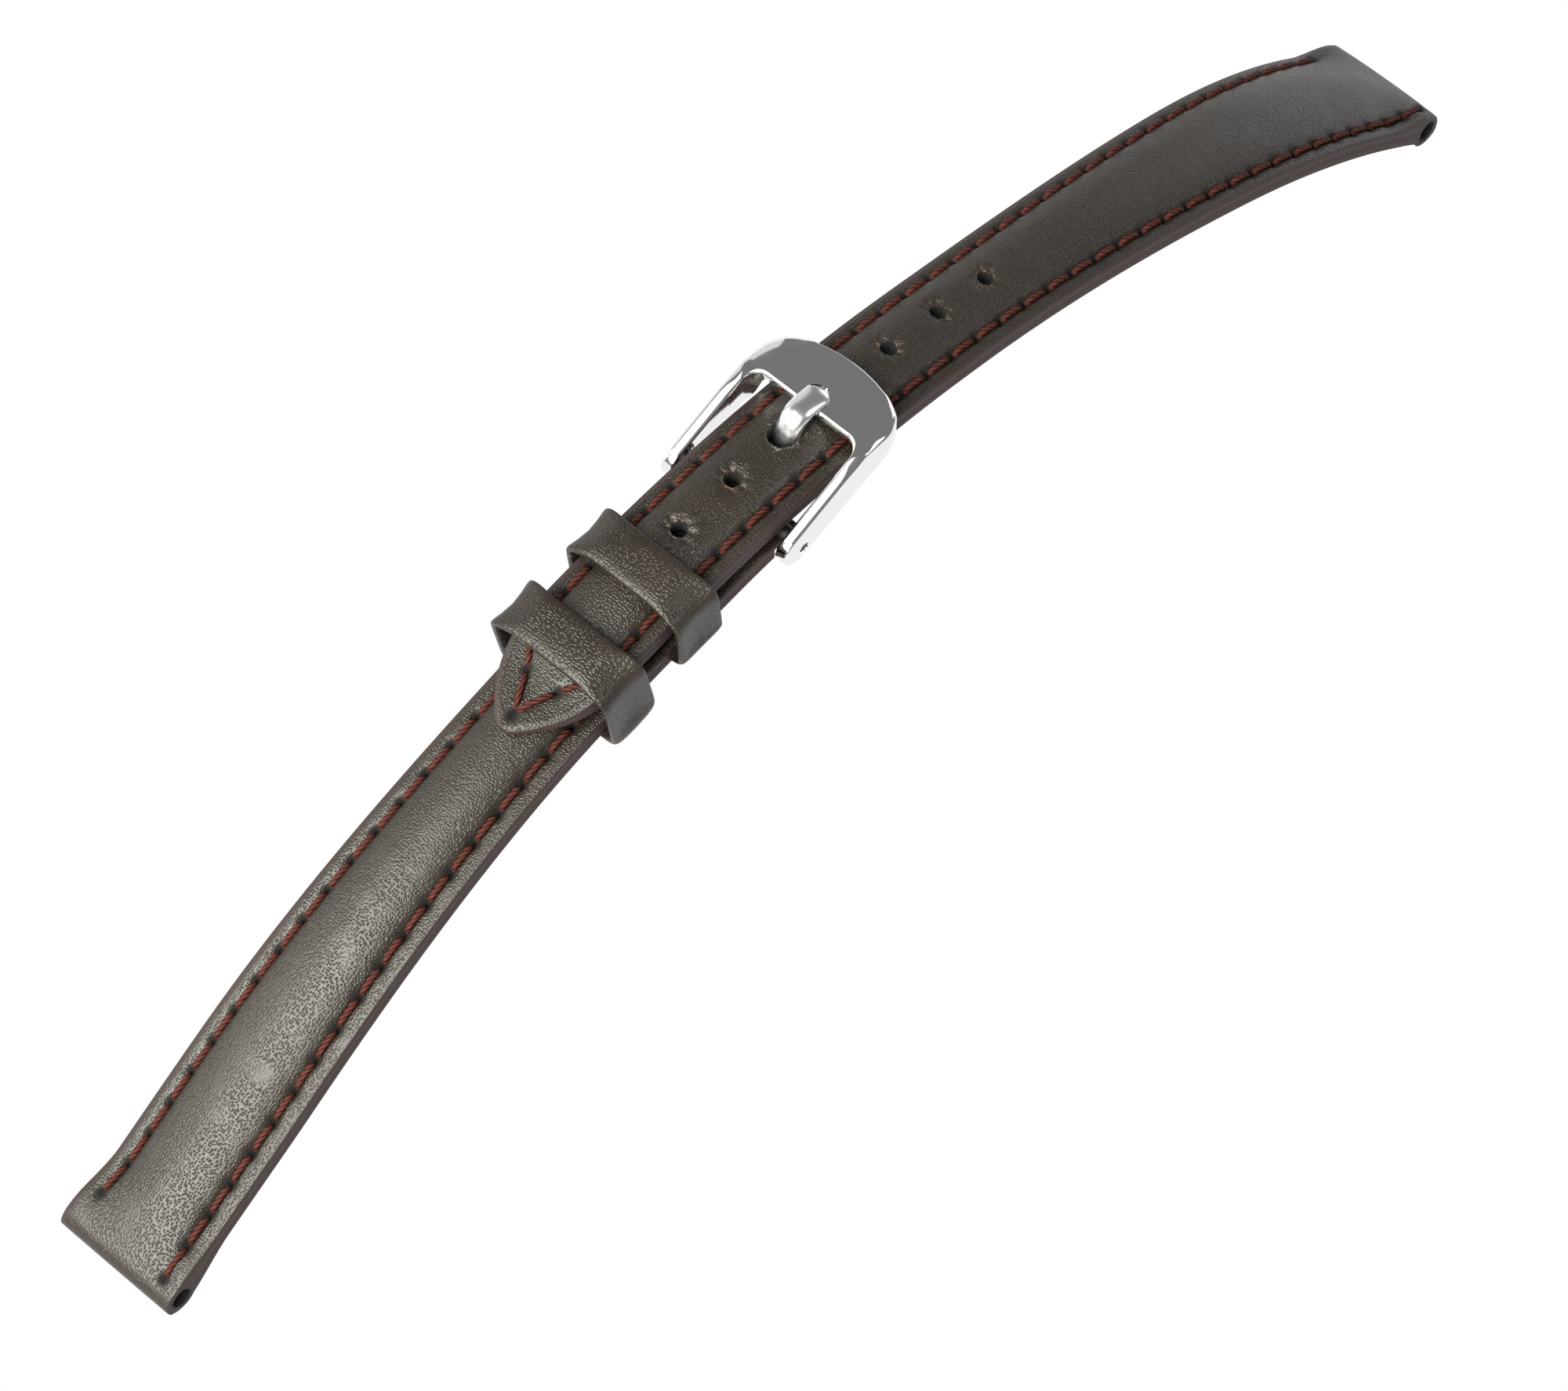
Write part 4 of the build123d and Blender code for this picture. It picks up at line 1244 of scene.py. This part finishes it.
def make_tongue():
    """Buckle tongue: a rolled eye that swells into a full, round-ended finger."""
    line = tongue_line()
    length = sum(hypot(b[0] - a[0], b[1] - a[1]) for a, b in zip(line, line[1:]))
    last = len(line) - 1
    sections = []
    for index, (x, z) in enumerate(line):
        before, after = line[max(index - 1, 0)], line[min(index + 1, last)]
        tangent = Vector((after[0] - before[0], after[1] - before[1])).normalized()
        along = length * index / last
        full = ease(along, *TONGUE_FILLS)
        close = sqrt(max(1 - (1 - min((length - along) / TIP_ROUND, 1.0)) ** 2, TIP_END_SHARE))
        width = TONGUE_WIDTH / 2 * mix(EYE_WIDTH_SHARE, 1.0, full) * close
        thick = mix(EYE_THICKNESS, TONGUE_THICKNESS, full) / 2 * close
        thinned = TIP_THINNING * (1 - min((length - along) / TIP_THINNING_LENGTH, 1.0)) ** 2
        back = 1 + TONGUE_SWELL * full * max(tangent.y, 0.0) - thinned
        loop = []
        for number in range(TONGUE_COLUMNS):
            angle = 2 * pi * number / TONGUE_COLUMNS
            out = rounded(sin(angle), mix(*TONGUE_OUT_POWERS, full)) * thick
            if out > 0:
                out *= back
            across = rounded(cos(angle), mix(*TONGUE_ACROSS_POWERS, full)) * width
            loop.append(by_axis(x - tangent.y * out, across, z + tangent.x * out))
        sections.append(loop)
    return skin(sections, "Buckle tongue", 60.0)


def shader(name):
    material = bpy.data.materials.new(name)
    material.use_nodes = True
    tree = material.node_tree
    return material, tree, tree.nodes["Principled BSDF"]


def add_node(tree, kind, **inputs):
    node = tree.nodes.new(kind)
    for key, value in inputs.items():
        node.inputs[key.replace("_", " ")].default_value = value
    return node


def ramp(tree, source, stops):
    """Colour of a ramp fed by source, with (place, colour) stops."""
    node = tree.nodes.new("ShaderNodeValToRGB")
    elements = node.color_ramp.elements
    while len(elements) < len(stops):
        elements.new(0.5)
    for element, (position, colour) in zip(elements, stops):
        element.position = position
        element.color = (*colour, 1.0)
    tree.links.new(source, node.inputs["Fac"])
    return node.outputs["Color"]


def noise(tree, scale, detail, roughness=0.5):
    """Noise that stays with the piece, at a scale in waves per metre."""
    node = add_node(tree, "ShaderNodeTexNoise", Scale=scale, Detail=detail, Roughness=roughness)
    coordinates = tree.nodes.new("ShaderNodeTexCoord")
    tree.links.new(coordinates.outputs["Object"], node.inputs["Vector"])
    return node.outputs["Fac"]


def bump_node(tree, height, strength, distance, before=None):
    """Normal of a surface raised by height, on top of the one before it."""
    node = add_node(tree, "ShaderNodeBump", Strength=strength, Distance=distance)
    tree.links.new(height, node.inputs["Height"])
    if before is not None:
        tree.links.new(before, node.inputs["Normal"])
    return node.outputs["Normal"]


def attribute_node(tree, name):
    node = tree.nodes.new("ShaderNodeAttribute")
    node.attribute_name = name
    return node


def grey(value):
    return (value, value, value)


def pore_distance(tree):
    """Distance to the nearest pore, unevenly strewn over the leather's own flat places."""
    flat = attribute_node(tree, "flat")
    wander = add_node(tree, "ShaderNodeTexNoise", Scale=2.2, Detail=1.0)
    tree.links.new(flat.outputs["Vector"], wander.inputs["Vector"])
    shifted = tree.nodes.new("ShaderNodeVectorMath")
    shifted.operation = "MULTIPLY_ADD"
    shifted.inputs[1].default_value = grey(PORE_WANDER)
    tree.links.new(wander.outputs["Color"], shifted.inputs[0])
    tree.links.new(flat.outputs["Vector"], shifted.inputs[2])
    pores = add_node(tree, "ShaderNodeTexVoronoi", Scale=PORE_SCALE, Randomness=0.65)
    pores.voronoi_dimensions = "2D"
    tree.links.new(shifted.outputs["Vector"], pores.inputs["Vector"])
    return pores.outputs["Distance"]


def leather_material(name, dark, light, roughness, pore_strength):
    """Dyed leather with fine pores and soft creases, painted edges and torn holes, with painted shade in
    its pores, needle holes and cut walls.
    """
    material, tree, principled = shader(name)
    creases = noise(tree, scale=650.0, detail=5.0, roughness=0.6)
    patches = noise(tree, scale=90.0, detail=3.0)
    fibres = noise(tree, scale=2600.0, detail=3.0)
    dents = noise(tree, scale=420.0, detail=1.0)
    marks_and_shade = tree.nodes.new("ShaderNodeSeparateColor")
    tree.links.new(attribute_node(tree, "marks_and_shade").outputs["Color"], marks_and_shade.inputs["Color"])
    paint, tear, needle_shade = (marks_and_shade.outputs[channel] for channel in ("Red", "Green", "Blue"))
    pits = ramp(tree, pore_distance(tree), [(0.0, BLACK), (0.2, grey(0.5)), (0.45, WHITE)])
    smooth = ramp(tree, dents, [(0.5, BLACK), (0.8, grey(0.7))])
    depth = blend_colour(tree, paint, blend_colour(tree, smooth, pits, WHITE), WHITE)
    grain = ramp(tree, patches, [(0.3, dark), (0.75, light)])
    # Pores are painted darker, as the shade in them
    pore_shaded = blend_colour(tree, depth, tuple(value * PORE_SHADE for value in dark), grain)
    torn = blend_colour(tree, tear, pore_shaded, ramp(tree, fibres, [(0.48, dark), (0.68, TORN_FIBRE)]))
    # Needle holes and cut walls are painted near black, as the shade inside them
    needle_shaded = blend_colour(tree, needle_shade, torn, NEEDLE_PAINTED_SHADE)
    tree.links.new(blend_colour(tree, paint, needle_shaded, EDGE_PAINT), principled.inputs["Base Color"])
    fine = bump_node(tree, depth, strength=pore_strength, distance=PORE_DEPTH)
    soft = bump_node(tree, creases, strength=0.3, distance=CREASE_DEPTH, before=fine)
    uneven = bump_node(tree, dents, strength=0.6, distance=DENT_DEPTH, before=soft)
    tree.links.new(uneven, principled.inputs["Normal"])
    polish = ramp(tree, patches, [(0.3, grey(roughness)), (0.8, grey(roughness + 0.1))])
    worn = blend_colour(tree, paint, polish, grey(PAINT_ROUGHNESS))
    tree.links.new(blend_colour(tree, needle_shade, worn, WHITE), principled.inputs["Roughness"])
    return material


def blend_colour(tree, share, low, high):
    """Mixes two colours, each a plain colour or a socket, by a socket's share."""
    node = tree.nodes.new("ShaderNodeMix")
    node.data_type = "RGBA"
    sockets = [socket for socket in node.inputs if socket.type == "RGBA"]
    tree.links.new(share, node.inputs["Factor"])
    for socket, value in zip(sockets, (low, high)):
        if isinstance(value, tuple):
            socket.default_value = (*value, 1.0)
        else:
            tree.links.new(value, socket)
    return next(socket for socket in node.outputs if socket.type == "RGBA")


def thread_material():
    """Waxed thread of twisted strands, with painted shade between them."""
    material, tree, principled = shader("Waxed thread")
    fibres = noise(tree, scale=5200.0, detail=3.0)
    parts = tree.nodes.new("ShaderNodeSeparateXYZ")
    tree.links.new(attribute_node(tree, "strand").outputs["Vector"], parts.inputs["Vector"])
    angle = calculate(tree, "ARCTAN2", parts.outputs["Y"], parts.outputs["X"])
    around = calculate(tree, "MULTIPLY", angle, THREAD_STRANDS)
    turned = calculate(tree, "MULTIPLY_ADD", parts.outputs["Z"], 2 * pi * THREAD_BANDS, around)
    wave = calculate(tree, "MULTIPLY_ADD", calculate(tree, "SINE", turned), 0.5, 0.5)
    # Painted shade in the grooves between the strands
    strands = ramp(tree, wave, [(0.1, THREAD_GAP_SHADE), (0.7, THREAD_RED)])
    tree.links.new(blend_colour(tree, fibres, strands, THREAD_FUZZ), principled.inputs["Base Color"])
    ridges = bump_node(tree, wave, strength=0.8, distance=THREAD_RIDGE)
    fuzz = bump_node(tree, fibres, strength=0.5, distance=FIBRE_DEPTH, before=ridges)
    tree.links.new(fuzz, principled.inputs["Normal"])
    principled.inputs["Roughness"].default_value = 0.7
    principled.inputs["Specular IOR Level"].default_value = 0.2
    return material


def calculate(tree, operation, *values):
    """A sum on sockets and plain numbers."""
    node = tree.nodes.new("ShaderNodeMath")
    node.operation = operation
    for value, socket in zip(values, node.inputs):
        if isinstance(value, (int, float)):
            socket.default_value = value
        else:
            tree.links.new(value, socket)
    return node.outputs["Value"]


def metal_material(name, colour, roughness):
    """Polished or turned steel with faint scratches and smears."""
    material, tree, principled = shader(name)
    smears = noise(tree, scale=260.0, detail=2.0)
    shine = ramp(tree, smears, [(0.3, grey(roughness)), (0.8, grey(roughness + 0.05))])
    tree.links.new(shine, principled.inputs["Roughness"])
    relief = bump_node(tree, smears, strength=0.02, distance=SMEAR_DEPTH)
    tree.links.new(relief, principled.inputs["Normal"])
    principled.inputs["Base Color"].default_value = (*colour, 1.0)
    principled.inputs["Metallic"].default_value = 1.0
    return material


def tape_material():
    """Woven tape, with painted shade between its threads."""
    material, tree, principled = shader("Woven tape")
    weave = noise(tree, scale=3000.0, detail=4.0)
    # Painted shade between the threads
    between = tuple(value * TAPE_SHADE for value in TAPE_BROWN)
    tree.links.new(ramp(tree, weave, [(0.3, between), (0.7, TAPE_BROWN)]), principled.inputs["Base Color"])
    relief = bump_node(tree, weave, strength=0.5, distance=FIBRE_DEPTH)
    tree.links.new(relief, principled.inputs["Normal"])
    principled.inputs["Roughness"].default_value = 0.85
    return material


def give(obj, material, slot_name, body, *nodes):
    """Finishes a piece: its material, the body it moves with and the nodes it stands for."""
    obj.data.materials.clear()
    obj.data.materials.append(material)
    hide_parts(*nodes)
    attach(obj, body)


class LeatherLook(bpy.types.PropertyGroup):
    """Colours and polish of the top leathers and the keepers"""

    dark: bpy.props.FloatVectorProperty(
        name="Dark",
        description="Leather colour in its deeper patches",
        subtype="COLOR",
        default=(0.013, 0.0086, 0.0058),
    )
    light: bpy.props.FloatVectorProperty(
        name="Light",
        description="Leather colour in its paler patches",
        subtype="COLOR",
        default=(0.021, 0.014, 0.0095),
    )
    roughness: bpy.props.FloatProperty(
        name="Roughness",
        description="Roughness of the grain side, lower where it is more polished",
        subtype="FACTOR",
        default=0.34,
        min=0.0,
        max=1.0,
    )


def grain_leather(context):
    """The strap's grain leather, made once and shared by all the pieces that use it."""
    look = context.scene.strap_leather
    known = bpy.data.materials.get("Grain leather")
    return known or leather_material("Grain leather", look.dark, look.light, look.roughness, GRAIN_PORES)


def waxed_thread():
    """The thread's material, made once and shared by all the stitches."""
    return bpy.data.materials.get("Waxed thread") or thread_material()


class STRAP_OT_leathers(bpy.types.Operator):
    """Make the top leathers, tapes and linings of both pieces"""

    bl_idname = "strap.leathers"
    bl_label = "Leathers"

    def execute(self, context):
        leather = grain_leather(context)
        tops = {"short": make_short_leather(), "long": make_long_leather()}
        tape = tape_material()
        lining_look = (LINING_DARK, LINING_LIGHT, LINING_ROUGHNESS, LINING_PORES)
        lining = leather_material("Lining leather", *lining_look)
        layers = make_layers()
        for piece, top in tops.items():
            give(top, leather, "brown_leather", "strap", piece + "_top_leather", piece + "_padding")
            give(layers[piece, "tape"], tape, "woven_tape", "strap", piece + "_reinforcement_tape")
            give(layers[piece, "lining"], lining, "lining_leather", "strap", piece + "_lining")
        return {"FINISHED"}


class STRAP_OT_threads(bpy.types.Operator):
    """Make the upper and lower threads of both pieces"""

    bl_idname = "strap.threads"
    bl_label = "Threads"

    def execute(self, context):
        short_seams = (SHORT_NEEDLES, short_half, SHORT_INSET, ())
        long_seams = (LONG_NEEDLES, long_half, LONG_INSET, VEE)
        threads = (
            ("short_upper_thread", short_seams, short_margin, UPPER_ARCH),
            ("short_lower_thread", short_seams, short_underside, LOWER_ARCH),
            ("long_upper_thread", long_seams, long_margin, UPPER_ARCH),
            ("long_lower_thread", long_seams, long_underside, LOWER_ARCH),
        )
        for node, seams, lift, arch in threads:
            obj = make_thread(node.replace("_", " ").capitalize(), seams, lift, arch)
            give(obj, waxed_thread(), "stitching_thread", "strap", node)
        return {"FINISHED"}


class STRAP_OT_keepers(bpy.types.Operator):
    """Make the fixed and the free keeper"""

    bl_idname = "strap.keepers"
    bl_label = "Keepers"

    def execute(self, context):
        leather = grain_leather(context)
        half = BUCKLE_WIDTH / 2
        crown = LONG_HEIGHT + LONG_CROWN + KEEPER_GAP
        tuck_high = LINING_HIGH - GLUE_LINE
        free_low = LINING_LOW - FREE_DROP
        fixed = make_keeper("Fixed keeper", FIXED_PLACE, half + FIXED_ROOM, tuck_high, crown, FIXED_TUCK)
        free = make_keeper("Free keeper", FREE_PLACE, half + FREE_ROOM, free_low, crown, KEEPER_WALL)
        stitches = make_closing_stitches(free_low - KEEPER_WALL - CLOSING_STITCH_SINK)
        give(fixed, leather, "brown_leather", "strap", "fixed_keeper_cover", "fixed_keeper_core")
        give(free, leather, "brown_leather", "free_keeper", "free_keeper_cover", "free_keeper_core")
        give(stitches, waxed_thread(), "stitching_thread", "free_keeper", "free_keeper_thread")
        return {"FINISHED"}


class STRAP_OT_buckle(bpy.types.Operator):
    """Make the buckle's frame and tongue, and finish its spring bar"""

    bl_idname = "strap.buckle"
    bl_label = "Buckle"

    def execute(self, context):
        polished = metal_material("Polished steel", BRIGHT_STEEL, roughness=0.09)
        give(make_frame(), polished, "polished_steel", "buckle", "buckle_frame")
        satin = metal_material("Satin steel", BRIGHT_STEEL, roughness=0.24)
        give(make_tongue(), satin, "polished_steel", "tongue", "buckle_tongue")
        # The spring bar is painted near black: partly a duller turned finish, mostly painted shade for the
        # dark gap round it
        turned = metal_material("Turned steel with painted shade", SHADED_BAR_STEEL, roughness=0.45)
        for part in ("tube", "plunger_left", "plunger_right", "spring"):
            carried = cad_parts["spring_bar_" + part]
            carried.data.materials.clear()
            carried.data.materials.append(turned)
        return {"FINISHED"}


def backdrop_material():
    """Pale matt floor that the camera and polished metal see as plain white."""
    material, tree, principled = shader("Backdrop")
    principled.inputs["Base Color"].default_value = (*FLOOR_GREY, 1.0)
    principled.inputs["Roughness"].default_value = 0.9
    white = add_node(tree, "ShaderNodeEmission", Color=(*WHITE, 1.0), Strength=1.0)
    seen = tree.nodes.new("ShaderNodeLightPath")
    choose = tree.nodes.new("ShaderNodeMixShader")
    either = calculate(tree, "MAXIMUM", seen.outputs["Is Camera Ray"], seen.outputs["Is Glossy Ray"])
    tree.links.new(either, choose.inputs["Fac"])
    tree.links.new(principled.outputs["BSDF"], choose.inputs[1])
    tree.links.new(white.outputs["Emission"], choose.inputs[2])
    tree.links.new(choose.outputs["Shader"], tree.nodes["Material Output"].inputs["Surface"])
    return material


def add_area(name, location, size, power, colour):
    """A soft square light that points at the strap."""
    light = bpy.data.lights.new(name, "AREA")
    light.size = size
    light.energy = power
    light.color = colour
    obj = bpy.data.objects.new(name.replace(" ", "_"), light)
    obj.location = location
    obj.rotation_euler = (Vector(LIGHT_TARGET) - Vector(location)).to_track_quat("-Z", "Y").to_euler()
    bpy.context.scene.collection.objects.link(obj)
    return obj


def add_camera():
    """The photograph's view, from its place, its line of sight and what is right in it."""
    away, right = Vector(CAMERA_AWAY), Vector(CAMERA_RIGHT)
    up = right.cross(away)
    camera = bpy.data.cameras.new("Camera")
    camera.sensor_width = CAMERA_SENSOR
    camera.lens = CAMERA_LENS
    obj = bpy.data.objects.new("Camera", camera)
    turn = Matrix((right.normalized(), up.normalized(), -away.normalized())).transposed()
    obj.matrix_world = Matrix.Translation(CAMERA_PLACE) @ turn.to_4x4()
    bpy.context.scene.collection.objects.link(obj)
    return obj


class STRAP_OT_stage(bpy.types.Operator):
    """Make the floor, the lights and the camera"""

    bl_idname = "strap.stage"
    bl_label = "Stage"

    def execute(self, context):
        scene = context.scene
        bm = bmesh.new()
        bmesh.ops.create_grid(bm, x_segments=1, y_segments=1, size=FLOOR_HALF)
        floor = finish_mesh(bm, "Floor")
        floor.data.materials.append(backdrop_material())
        world = bpy.data.worlds.new("Studio")
        world.use_nodes = True
        background = world.node_tree.nodes["Background"]
        background.inputs["Color"].default_value = (*WHITE, 1.0)
        background.inputs["Strength"].default_value = WORLD_STRENGTH
        scene.world = world
        for light in LIGHTS:
            add_area(*light)
        scene.camera = add_camera()
        scene.view_settings.view_transform = "Standard"
        return {"FINISHED"}


class STRAP_PT_panel(bpy.types.Panel):
    """Buttons for the strap's pieces"""

    bl_idname = "STRAP_PT_panel"
    bl_label = "Watch strap"
    bl_space_type = "VIEW_3D"
    bl_region_type = "UI"
    bl_category = "Strap"

    def draw(self, context):
        look = context.scene.strap_leather
        for name in ("dark", "light", "roughness"):
            self.layout.prop(look, name)
        for operator in OPERATORS:
            self.layout.operator(operator.bl_idname)


OPERATORS = (STRAP_OT_leathers, STRAP_OT_threads, STRAP_OT_keepers, STRAP_OT_buckle, STRAP_OT_stage)
CLASSES = (LeatherLook, *OPERATORS, STRAP_PT_panel)


def register():
    for item in CLASSES:
        bpy.utils.register_class(item)
    bpy.types.Scene.strap_leather = bpy.props.PointerProperty(type=LeatherLook)


def unregister():
    del bpy.types.Scene.strap_leather
    for item in reversed(CLASSES):
        bpy.utils.unregister_class(item)


def main():
    register()
    bpy.ops.strap.leathers()
    bpy.ops.strap.threads()
    bpy.ops.strap.keepers()
    bpy.ops.strap.buckle()
    bpy.ops.strap.stage()


if __name__ == "__main__":
    main()
